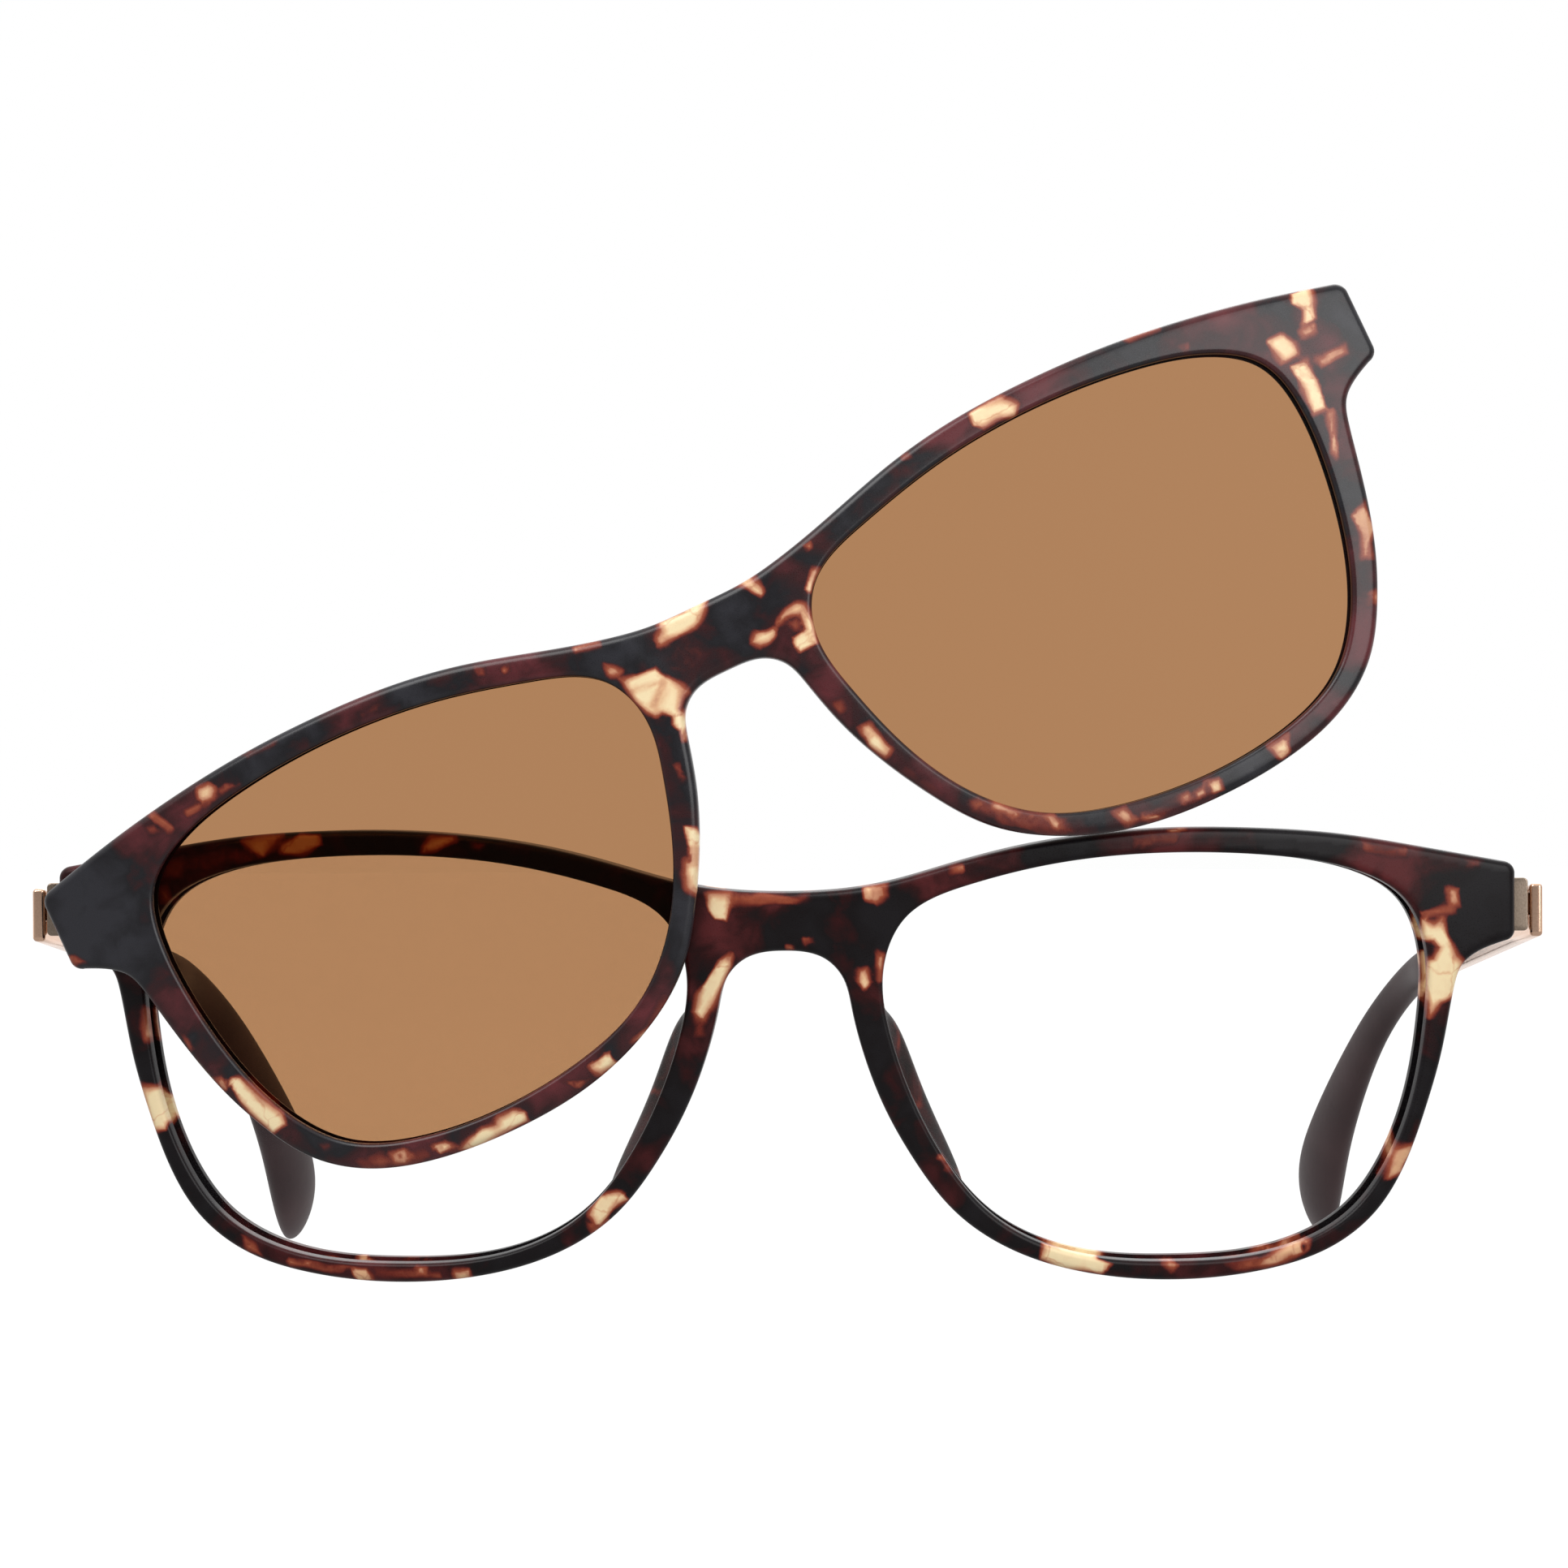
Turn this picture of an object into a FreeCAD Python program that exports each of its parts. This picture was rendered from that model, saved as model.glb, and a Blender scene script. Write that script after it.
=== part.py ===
import FreeCAD, Part
import math
import os

os.makedirs("parts", exist_ok=True)
Vec = FreeCAD.Vector

# Spectacles with a magnetic sun clip-on. Millimetres, +Z up, the front faces -Y, +X is the side
# called right. The glasses stand on the rims' lower edges and the two ear tips, temples open.
# The clip-on is swung up about the magnet in its left corner.
#
# The front is designed flat-on and curved: a point of its face is (u across, v up), and the face
# is a sphere. Depth runs towards the sphere's centre, so every wall of the front is radial.

# ---- driving dimensions ----
FACE_RADIUS = 220.0          # outer radius of the curved front face
FRONT_TILT = 6.0             # the front's top leans forward by this many degrees
APEX_Y = -64.85              # the face's middle, in front of the origin
APEX_Z = 21.83               # and above the table

FRAME_THICK = 4.0
HALF_WIDTH = 70.3            # of the plastic front
END_TOP, END_BOTTOM = 17.0, 9.6
CORNER = 0.9                 # rounding of the end piece's corners

LENS_FRONT = 1.3             # from the face to the lens
LENS_THICK = 1.6
GROOVE = 0.55                # how far a lens reaches into its rim

CLIP_GAP = 0.3               # between the front and the clip-on
CLIP_THICK = 2.4
CLIP_HALF_WIDTH = 68.5
CLIP_END_TOP, CLIP_END_BOTTOM = 17.45, 9.75
CLIP_LENS_BACK = 0.6         # from the clip-on's back to its lens
CLIP_LENS_THICK = 1.1
CLIP_GROOVE = 0.5
CLIP_SWING = 26.2            # how far the clip-on is swung up, in degrees

MAGNET_U, MAGNET_V = 63.2, 10.5
MAGNET_R = 1.25
FRAME_MAGNET_DEPTH = 0.8     # plastic left in front of a frame magnet
FRAME_MAGNET_THICK = 1.5
CLIP_MAGNET_THICK = 1.3
SWIVEL_CLEARANCE = 0.05

PIN_X, PIN_Y = 68.5, 16.0    # hinge pin, Y from the face's middle
HINGE_LOW, HINGE_HIGH = 33.45, 38.55
KNUCKLE_R = 1.9
KNUCKLE_TALL = 1.3
KNUCKLE_GAP = 0.15
PIN_R = 0.75
PIN_CLEARANCE = 0.05
PLATE_Y, PLATE_THICK = 12.6, 1.0
PLATE_IN, PLATE_OUT = 64.4, 71.45

ARM_START = (72.27, 12.9, 35.48)      # middle of the arm's front end, Y from the face's middle
ARM_INWARD, ARM_DOWN = 0.1090, 0.0898 # run of the arm per millimetre of Y
ARM_THICK = 1.25
ARM_TALL_FRONT, ARM_TALL_REAR = 5.1, 3.4
ARM_ROUNDING = 0.4
ARM_END_Y = 77.0
CORE_R = 0.6

# ---- outlines of the front, in (u, v) on the face, right half ----
FRAME_TOP = [
    (0.0, 15.7), (5.0, 15.9), (9.5, 16.55), (15.5, 18.15), (22.5, 19.9), (30.0, 21.0),
    (37.5, 21.4), (45.0, 21.2), (53.0, 20.45), (61.0, 18.95),
]
FRAME_UNDER = [
    (66.5, 8.45), (65.1, 7.25), (64.45, 5.5), (63.9, 2.7), (63.1, -1.3), (61.75, -6.0),
    (59.7, -11.6), (56.9, -16.2), (52.6, -19.6), (46.0, -21.7), (37.0, -22.4), (29.0, -21.55),
    (21.9, -19.25), (16.3, -15.4), (12.3, -10.2), (9.4, -4.9), (7.55, 0.0), (6.4, 4.5),
    (5.6, 7.4), (3.9, 9.25), (0.0, 10.05),
]
FRAME_OPENING = [
    (9.4, 7.6), (11.6, 13.2), (17.5, 16.2), (26.5, 18.25), (37.5, 19.0), (47.5, 18.4),
    (54.8, 16.85), (59.6, 13.9), (61.7, 8.5), (61.6, 2.5), (60.5, -4.3), (58.2, -10.8),
    (54.3, -16.2), (47.5, -19.6), (37.5, -20.5), (27.5, -19.45), (19.9, -15.7),
    (15.3, -10.2), (12.2, -4.2), (10.1, 2.0),
]
OPENING_MIDDLE = (35.5, 0.0)

CLIP_TOP = [
    (0.0, 15.35), (5.0, 15.45), (9.5, 16.2), (15.5, 17.8), (22.5, 19.75), (30.0, 21.0),
    (37.5, 21.4), (45.0, 21.25), (53.0, 20.45), (61.0, 19.1),
]
CLIP_UNDER = [
    (65.4, 8.5), (64.0, 7.2), (63.25, 5.2), (62.65, 2.3), (61.9, -1.3), (60.5, -6.4),
    (58.4, -11.4), (55.5, -15.9), (51.3, -19.1), (45.0, -21.15), (37.0, -21.85), (29.0, -21.2),
    (21.9, -18.9), (16.2, -15.1), (12.2, -9.8), (9.5, -4.9), (7.5, 0.0), (6.3, 4.4),
    (5.3, 7.0), (3.7, 8.3), (0.0, 8.8),
]
CLIP_OPENING = [
    (9.0, 7.8), (10.9, 12.5), (17.5, 15.75), (26.0, 17.85), (37.0, 18.9), (47.5, 18.2),
    (54.2, 16.45), (58.1, 13.7), (59.75, 8.0), (59.5, 2.0), (58.4, -4.2), (55.9, -11.0),
    (51.9, -16.0), (45.5, -18.7), (37.0, -19.6), (28.5, -18.75), (21.0, -16.1),
    (15.5, -11.0), (11.75, -4.0), (9.8, 2.2),
]

# ---- nose pads: sections down the rim, as (v, u of the inner edge, reach to the rear) ----
PAD_SECTIONS = [
    (4.2, 7.3, 1.0), (2.4, 7.9, 4.0), (-1.0, 8.6, 6.6), (-5.0, 9.8, 7.6), (-9.0, 11.8, 6.8),
    (-12.2, 14.0, 4.0), (-13.6, 15.2, 1.0),
]
PAD_BASE = 2.0               # thickness at the rim
PAD_EDGE = 1.5               # thickness at the rear edge
PAD_FLARE = 0.2              # run outwards per millimetre of reach
PAD_ROOT = 1.0               # how deep the blank starts inside the rim before it is trimmed

# ---- ear tip: its middle line, as (x, y from the face's middle, z) ----
TIP_LINE = [
    (65.50, 75.0, 29.90), (64.61, 82.5, 29.29), (63.65, 89.8, 28.55), (62.05, 96.8, 26.75),
    (59.80, 103.0, 23.35), (57.60, 109.5, 18.70), (55.75, 116.0, 13.60), (54.40, 122.2, 8.60),
    (53.90, 128.0, 4.10), (54.45, 133.2, 0.80),
]
# sections as (share of the line, half thickness, half height, twist in degrees)
TIP_SECTIONS = [
    (0.0, 1.30, 2.10, 0.0), (0.12, 1.30, 2.00, 0.0), (0.24, 1.30, 1.90, 1.0),
    (0.35, 1.25, 1.85, 3.0), (0.45, 1.25, 2.00, 6.0), (0.55, 1.35, 2.30, 10.0),
    (0.65, 1.50, 2.70, 14.0), (0.75, 1.70, 3.10, 19.0), (0.85, 1.80, 3.40, 24.0),
    (0.92, 1.60, 3.05, 26.0), (0.965, 1.20, 2.25, 26.0), (0.99, 0.75, 1.35, 26.0),
    (1.0, 0.33, 0.60, 26.0),
]
CORE_BEND = (62.50, 96.9, 28.15)
CORE_END = (56.20, 115.5, 14.40)
CORE_BEND_R = 20.0

SPHERE_CENTRE = Vec(0, FACE_RADIUS, 0)


# ---- the curved front ----
def ray(u, v):
    """Unit vector from the sphere's centre to the face's point (u, v)."""
    return Vec(u, -math.sqrt(FACE_RADIUS**2 - u * u - v * v), v).multiply(1.0 / FACE_RADIUS)


def on_sphere(u, v, radius):
    return SPHERE_CENTRE + ray(u, v).multiply(radius)


def on_plane(u, v, distance):
    """The same ray, met on the plane that lies this far in front of the centre."""
    direction = ray(u, v)
    return SPHERE_CENTRE + direction.multiply(distance / -direction.y)


def spline(points, closed=False):
    curve = Part.BSplineCurve()
    curve.interpolate(Points=points, PeriodicFlag=closed)
    return curve.toShape()


def mirrored(points):
    return [(-u, v) for u, v in reversed(points)]


def radial_block(outline):
    """Solid between two scaled copies of an outline, its walls pointing at the sphere's centre."""
    wires = [outline(FACE_RADIUS + 14.0), outline(FACE_RADIUS - 30.0)]
    return Part.makeLoft(wires, True, True)


def shell_between(block, outer, inner):
    outer_ball = Part.makeSphere(outer, SPHERE_CENTRE)
    inner_ball = Part.makeSphere(inner, SPHERE_CENTRE)
    return block.common(outer_ball).cut(inner_ball)


def front_contour(top, under, half_width, end_top, end_bottom):
    def wire(distance):
        def place(points):
            return [on_plane(u, v, distance) for u, v in points]

        def corner(before, middle, after):
            a, b, c = place([before, middle, after])
            return Part.Arc(a, b, c).toShape()

        def end(side):
            near, half = CORNER * 0.29, half_width
            upper = [(side * (half - CORNER), end_top + 0.16), (side * (half - near), end_top - near),
                     (side * half, end_top - CORNER)]
            lower = [(side * half, end_bottom + CORNER), (side * (half - near), end_bottom + near),
                     (side * (half - CORNER), end_bottom - 0.1)]
            return upper, lower

        right_upper, right_lower = end(1.0)
        left_upper, left_lower = end(-1.0)
        top_line = [left_upper[0]] + mirrored(top)[:-1] + top + [right_upper[0]]
        under_line = [right_lower[2]] + under + mirrored(under)[1:] + [left_lower[2]]
        a, b = place([right_upper[2], right_lower[0]])
        c, d = place([left_lower[0], left_upper[2]])
        return Part.Wire([
            spline(place(top_line)), corner(*right_upper), Part.makeLine(a, b), corner(*right_lower),
            spline(place(under_line)), corner(*reversed(left_lower)), Part.makeLine(c, d),
            corner(*reversed(left_upper)),
        ])
    return radial_block(wire)


def opening_block(points, grow=0.0):
    """Radial block of one opening; grow moves each point away from the opening's middle."""
    mu, mv = OPENING_MIDDLE
    grown = []
    for u, v in points:
        reach = math.hypot(u - mu, v - mv)
        factor = (reach + grow) / reach
        grown.append((mu + (u - mu) * factor, mv + (v - mv) * factor))
    return radial_block(lambda distance: Part.Wire(
        [spline([on_plane(u, v, distance) for u, v in grown], closed=True)]))


def radial_disc(u, v, radius, outer, inner):
    direction = ray(u, v)
    start = SPHERE_CENTRE + Vec(direction).multiply(inner)
    return Part.makeCylinder(radius, outer - inner, start, direction)


def other_side(shape):
    return shape.mirror(Vec(0, 0, 0), Vec(1, 0, 0))


def stand(shape):
    """Tilt the curved front and set it at its height above the table."""
    placed = shape.copy()
    placed.rotate(Vec(0, 0, 0), Vec(1, 0, 0), FRONT_TILT)
    placed.translate(Vec(0, APEX_Y, APEX_Z))
    return placed


def swing(shape):
    """Swing a clip-on part up about the magnet in its left corner, then stand it."""
    placed = shape.copy()
    placed.rotate(SPHERE_CENTRE, ray(-MAGNET_U, MAGNET_V), CLIP_SWING)
    return stand(placed)


def nose_pad():
    """Right nose pad blank: an oval fin that leans outwards as it reaches back."""
    wires = []
    for v, u_in, reach in PAD_SECTIONS:
        root = FRAME_THICK - PAD_ROOT
        back = FRAME_THICK + reach
        lean = PAD_FLARE * reach
        edge = PAD_EDGE
        ring = [
            (u_in, root), (u_in + lean * 0.45, (FRAME_THICK + back) / 2), (u_in + lean, back - 0.3),
            (u_in + lean + edge / 2, back), (u_in + lean + edge, back - 0.3),
            (u_in + PAD_BASE + lean * 0.45, (FRAME_THICK + back) / 2 - 0.3), (u_in + PAD_BASE, root),
        ]
        points = [Vec(u, w, v) for u, w in ring]
        wires.append(Part.Wire([spline(points), Part.makeLine(points[-1], points[0])]))
    return Part.makeLoft(wires, True, False)


# ---- hinges and temples, in the frame of the standing glasses but Y from the face's middle ----
def upright(radius, low, high):
    return Part.makeCylinder(radius, high - low, Vec(PIN_X, PIN_Y, low), Vec(0, 0, 1))


def plate_box(x_low, x_high, y_low, y_high, z_low, z_high):
    return Part.makeBox(x_high - x_low, y_high - y_low, z_high - z_low, Vec(x_low, y_low, z_low))


def seated(shape):
    placed = shape.copy()
    placed.translate(Vec(0, APEX_Y, 0))
    return placed


LOWER_KNUCKLE = (HINGE_LOW, HINGE_LOW + KNUCKLE_TALL)
UPPER_KNUCKLE = (HINGE_HIGH - KNUCKLE_TALL, HINGE_HIGH)
MIDDLE_KNUCKLE = (LOWER_KNUCKLE[1] + KNUCKLE_GAP, UPPER_KNUCKLE[0] - KNUCKLE_GAP)
SCREW_HEAD_R, SCREW_HEAD_TALL = 1.25, 0.6
BRACKET_SCREW_X = 65.5
BRACKET_SCREW_Z = (34.55, 37.45)
BRACKET_SCREW_R, BRACKET_HEAD_R, BRACKET_HEAD_TALL = 0.45, 0.8, 0.5
BRACKET_SCREW_LONG = 2.2


def hinge_screw():
    shank = upright(PIN_R, HINGE_LOW, HINGE_HIGH - SCREW_HEAD_TALL)
    head = Part.makeCone(PIN_R, SCREW_HEAD_R, SCREW_HEAD_TALL,
                         Vec(PIN_X, PIN_Y, HINGE_HIGH - SCREW_HEAD_TALL), Vec(0, 0, 1))
    return shank.fuse(head)


def hinge_bracket(screws):
    plate = plate_box(PLATE_IN, PLATE_OUT, PLATE_Y, PLATE_Y + PLATE_THICK, HINGE_LOW, HINGE_HIGH)
    corners = [edge for edge in plate.Edges if abs(edge.tangentAt(0).y) > 0.9]
    bracket = plate.makeFillet(0.45, corners)
    for low, high in (LOWER_KNUCKLE, UPPER_KNUCKLE):
        web = plate_box(PIN_X - KNUCKLE_R, PIN_X + KNUCKLE_R, PLATE_Y + PLATE_THICK / 2, PIN_Y, low, high)
        bracket = bracket.fuse(upright(KNUCKLE_R, low, high)).fuse(web)
    return bracket.cut(hinge_screw()).cut(screws).removeSplitter()


def bracket_screw(z):
    rear = PLATE_Y + PLATE_THICK
    shank = Part.makeCylinder(BRACKET_SCREW_R, PLATE_THICK + BRACKET_SCREW_LONG,
                              Vec(BRACKET_SCREW_X, rear, z), Vec(0, -1, 0))
    head = Part.makeCone(BRACKET_HEAD_R, BRACKET_SCREW_R, BRACKET_HEAD_TALL,
                         Vec(BRACKET_SCREW_X, rear, z), Vec(0, -1, 0))
    slot = plate_box(BRACKET_SCREW_X - 1.0, BRACKET_SCREW_X + 1.0, rear - 0.2, rear + 0.1,
                     z - 0.1, z + 0.1)
    return shank.fuse(head).cut(slot)


def arm_middle(y):
    along = y - ARM_START[1]
    return Vec(ARM_START[0] - ARM_INWARD * along, y, ARM_START[2] - ARM_DOWN * along)


def arm_section(y, tall):
    """Rounded rectangle across the arm, standing in the XZ plane."""
    middle = arm_middle(y)
    half_x, half_z, near = ARM_THICK / 2, tall / 2, ARM_ROUNDING * 0.29
    edges = []
    for sx, sz in ((1, 1), (-1, 1), (-1, -1), (1, -1)):
        side = middle + Vec(sx * half_x, 0, sz * (half_z - ARM_ROUNDING))
        mid = middle + Vec(sx * (half_x - near), 0, sz * (half_z - near))
        level = middle + Vec(sx * (half_x - ARM_ROUNDING), 0, sz * half_z)
        first, last = (side, level) if sx == sz else (level, side)
        if edges:
            edges.append(Part.makeLine(edges[-1].Vertexes[-1].Point, first))
        edges.append(Part.Arc(first, mid, last).toShape())
    edges.append(Part.makeLine(edges[-1].Vertexes[-1].Point, edges[0].Vertexes[0].Point))
    return Part.Wire(edges)


def core_wire():
    """Round wire that runs from the arm's end through the ear tip, with one bend."""
    start, bend, finish = arm_middle(ARM_END_Y - 2.0), Vec(*CORE_BEND), Vec(*CORE_END)
    back, onward = (start - bend).normalize(), (finish - bend).normalize()
    trim = CORE_BEND_R / math.tan(back.getAngle(onward) / 2.0)
    into, out = bend + Vec(back).multiply(trim), bend + Vec(onward).multiply(trim)
    centre = bend + (back + onward).normalize().multiply(math.hypot(trim, CORE_BEND_R))
    nearest = centre + (bend - centre).normalize().multiply(CORE_BEND_R)
    path = Part.Wire([Part.makeLine(start, into), Part.Arc(into, nearest, out).toShape(),
                      Part.makeLine(out, finish)])
    ring = Part.Wire([Part.makeCircle(CORE_R, start, (into - start).normalize())])
    return path.makePipeShell([ring], True, False)


def temple_arm():
    bar = Part.makeLoft([arm_section(ARM_START[1], ARM_TALL_FRONT),
                         arm_section(ARM_END_Y, ARM_TALL_REAR)], True, True)
    low, high = MIDDLE_KNUCKLE
    lug = plate_box(PIN_X, ARM_START[0] - 0.5, PIN_Y - 1.6, PIN_Y + 1.6, low, high)
    knuckle = upright(KNUCKLE_R - 0.05, low, high).fuse(lug)
    bore = upright(PIN_R + PIN_CLEARANCE, low - 1, high + 1)
    return bar.fuse(knuckle).fuse(core_wire()).cut(bore).removeSplitter()


def tip_section(line, share, thin, tall, twist):
    """Oval across the ear tip; the twist turns its inner face to the front."""
    first, last = line.ParameterRange
    at = line.getParameterByLength(share * line.Length)
    at = min(max(at, first), last)
    middle, along = line.valueAt(at), line.tangentAt(at)
    across = along.cross(Vec(0, 0, 1)).normalize()
    up = across.cross(along).normalize()
    turn = math.radians(twist)
    flat = Vec(across).multiply(math.cos(turn)) + Vec(up).multiply(math.sin(turn))
    upright_axis = Vec(up).multiply(math.cos(turn)) - Vec(across).multiply(math.sin(turn))
    oval = Part.Ellipse(middle + upright_axis.multiply(tall), middle + flat.multiply(thin), middle)
    return Part.Wire([oval.toShape()])


def temple_tip(arm):
    line = spline([Vec(*point) for point in TIP_LINE])
    return Part.makeLoft([tip_section(line, *row) for row in TIP_SECTIONS], True, False).cut(arm)


def save(name, shape):
    shape.exportStep("parts/" + name + ".step")


def save_pair(name, right_shape, finish, left_shape=None):
    """Write a part and its mirror image, or a left part of its own."""
    left_shape = left_shape or other_side(right_shape)
    save(name + "_right", finish(right_shape))
    save(name + "_left", finish(left_shape))


# ---- the glasses' front ----
back = FACE_RADIUS - FRAME_THICK
lens_front = FACE_RADIUS - LENS_FRONT
lens = shell_between(opening_block(FRAME_OPENING, GROOVE), lens_front, lens_front - LENS_THICK)
magnet_front = FACE_RADIUS - FRAME_MAGNET_DEPTH
magnet_back = magnet_front - FRAME_MAGNET_THICK
magnet = radial_disc(MAGNET_U, MAGNET_V, MAGNET_R, magnet_front, magnet_back)
cap = radial_disc(MAGNET_U, MAGNET_V, MAGNET_R, magnet_back, back)

blank = shell_between(
    front_contour(FRAME_TOP, FRAME_UNDER, HALF_WIDTH, END_TOP, END_BOTTOM), FACE_RADIUS, back)
opening = opening_block(FRAME_OPENING)
sunk = magnet.fuse(radial_disc(MAGNET_U, MAGNET_V, MAGNET_R, magnet_back, back - 2.0))
for cutter in (opening, lens, sunk):
    blank = blank.cut(cutter).cut(other_side(cutter))

screws = Part.makeCompound([bracket_screw(z) for z in BRACKET_SCREW_Z])
bracket = hinge_bracket(screws)
pocket = plate_box(PLATE_IN, HALF_WIDTH + 3, PLATE_Y, PLATE_Y + 6, HINGE_LOW, HINGE_HIGH)
front_frame = stand(blank)
for cutter in (pocket, screws):
    front_frame = front_frame.cut(seated(cutter)).cut(seated(other_side(cutter)))
save("front_frame", front_frame)

save_pair("lens", lens, stand)
save_pair("nose_pad", nose_pad().cut(blank).cut(lens), stand)
save_pair("frame_magnet", magnet, stand)
save_pair("magnet_cap", cap, stand)

# ---- hinges and temples ----
save_pair("hinge_bracket", bracket, seated)
save_pair("bracket_screws", screws, seated)
slot = plate_box(PIN_X - 2, PIN_X + 2, PIN_Y - 0.15, PIN_Y + 0.15, HINGE_HIGH - 0.3, HINGE_HIGH + 1)
save_pair("hinge_screw", hinge_screw().cut(slot), seated)
arm = temple_arm()
save_pair("temple_arm", arm, seated)
save_pair("temple_tip", temple_tip(arm), seated)

# ---- the sun clip-on ----
clip_back = FACE_RADIUS + CLIP_GAP
clip_lens_back = clip_back + CLIP_LENS_BACK
clip_lens = shell_between(
    opening_block(CLIP_OPENING, CLIP_GROOVE), clip_lens_back + CLIP_LENS_THICK, clip_lens_back)
magnet_top = clip_back + CLIP_MAGNET_THICK
clip_magnet = radial_disc(MAGNET_U, MAGNET_V, MAGNET_R, magnet_top, clip_back)
glued_pocket = radial_disc(MAGNET_U, MAGNET_V, MAGNET_R, magnet_top, clip_back - 1.0)
clip_opening = opening_block(CLIP_OPENING)
swivel_pocket = radial_disc(-MAGNET_U, MAGNET_V, MAGNET_R + SWIVEL_CLEARANCE,
                            magnet_top + SWIVEL_CLEARANCE, clip_back - 1.0)
clip_frame = shell_between(
    front_contour(CLIP_TOP, CLIP_UNDER, CLIP_HALF_WIDTH, CLIP_END_TOP, CLIP_END_BOTTOM),
    clip_back + CLIP_THICK, clip_back)
for cutter in (clip_opening, other_side(clip_opening), clip_lens, other_side(clip_lens),
               glued_pocket, swivel_pocket):
    clip_frame = clip_frame.cut(cutter)
save("clip_frame", swing(clip_frame))
save_pair("clip_lens", clip_lens, swing)
save_pair("clip_magnet", clip_magnet, swing)
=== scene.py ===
import math

import bmesh
import bpy
import numpy as np
from mathutils import Matrix, Quaternion, Vector, geometry, noise


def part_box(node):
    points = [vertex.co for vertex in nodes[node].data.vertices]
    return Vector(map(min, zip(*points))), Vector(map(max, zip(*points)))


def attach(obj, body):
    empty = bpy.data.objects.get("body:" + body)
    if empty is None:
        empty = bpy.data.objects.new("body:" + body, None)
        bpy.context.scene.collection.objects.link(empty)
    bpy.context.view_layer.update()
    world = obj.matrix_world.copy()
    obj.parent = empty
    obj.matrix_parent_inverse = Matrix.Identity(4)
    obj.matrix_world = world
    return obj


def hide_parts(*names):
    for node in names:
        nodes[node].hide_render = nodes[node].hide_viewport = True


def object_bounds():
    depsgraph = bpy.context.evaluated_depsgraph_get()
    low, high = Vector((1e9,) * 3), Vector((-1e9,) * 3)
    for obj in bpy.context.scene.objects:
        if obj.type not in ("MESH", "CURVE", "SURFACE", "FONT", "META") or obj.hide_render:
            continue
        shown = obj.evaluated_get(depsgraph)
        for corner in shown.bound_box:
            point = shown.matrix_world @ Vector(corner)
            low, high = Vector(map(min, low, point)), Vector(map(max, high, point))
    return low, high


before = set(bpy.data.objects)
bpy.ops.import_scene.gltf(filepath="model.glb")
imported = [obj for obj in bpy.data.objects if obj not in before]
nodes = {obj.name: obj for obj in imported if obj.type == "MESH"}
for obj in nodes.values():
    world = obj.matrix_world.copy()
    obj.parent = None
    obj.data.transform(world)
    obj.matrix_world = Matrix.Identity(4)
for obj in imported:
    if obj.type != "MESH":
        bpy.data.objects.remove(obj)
cad_low, cad_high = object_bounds()

# Tortoiseshell glasses with a magnetic sun clip-on. Lengths of the two plastic fronts are in
# millimetres on their curved face, as in the CAD: u across, v up, depth towards the sphere's centre.
MM = 0.001

# ---- the curved fronts, as the CAD has them ----
FACE_RADIUS = 220.0
FRONT_TILT = math.radians(6.0)
APEX = Vector((0.0, -64.85, 21.83))
FRAME_THICK = 4.0
HALF_WIDTH, END_TOP, END_BOTTOM = 70.3, 17.0, 9.6
CORNER = 0.9
CORNER_MIDDLE = 0.29         # how far a corner's middle lies inside it, as a share of its radius
END_RISE, END_DROP = 0.16, 0.1   # run of the outline above and below an end piece, up to its corner
LENS_FRONT, LENS_THICK, GROOVE = 1.3, 1.6, 0.55
CLIP_GAP, CLIP_THICK = 0.3, 2.4
CLIP_HALF_WIDTH, CLIP_END_TOP, CLIP_END_BOTTOM = 68.5, 17.45, 9.75
CLIP_LENS_BACK, CLIP_LENS_THICK, CLIP_GROOVE = 0.6, 1.1, 0.5
CLIP_SWING = math.radians(26.2)
MAGNET_U, MAGNET_V, MAGNET_R = 63.2, 10.5, 1.25
MAGNET_ROOM = 0.05           # round a clip-on's magnet
CLIP_MAGNET_THICK = 1.3
FRAME_MAGNET_FROM = 0.78     # depth of the frame magnet's pocket, just past the magnet
FRAME_MAGNET_ROOM = 0.02

EDGE_FRONT = 0.75            # rounding of the polished front edges
EDGE_BACK = 0.5
EDGE_STEPS = 5
SAMPLE = 0.4                 # spacing of the mesh on the fronts
ROW_STEP = 0.866             # rows of that mesh, as a share of the spacing
POLISH = 0.12                # how far the clip's polished outline stands proud of its CAD line
OPENING_EDGE = 0.6           # share of that rounding round the lens openings
LENS_ROOM = 0.03             # room round a lens in its groove
SEAT_PAST = 3.0              # how far the bracket's seat is cut past the end piece

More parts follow.
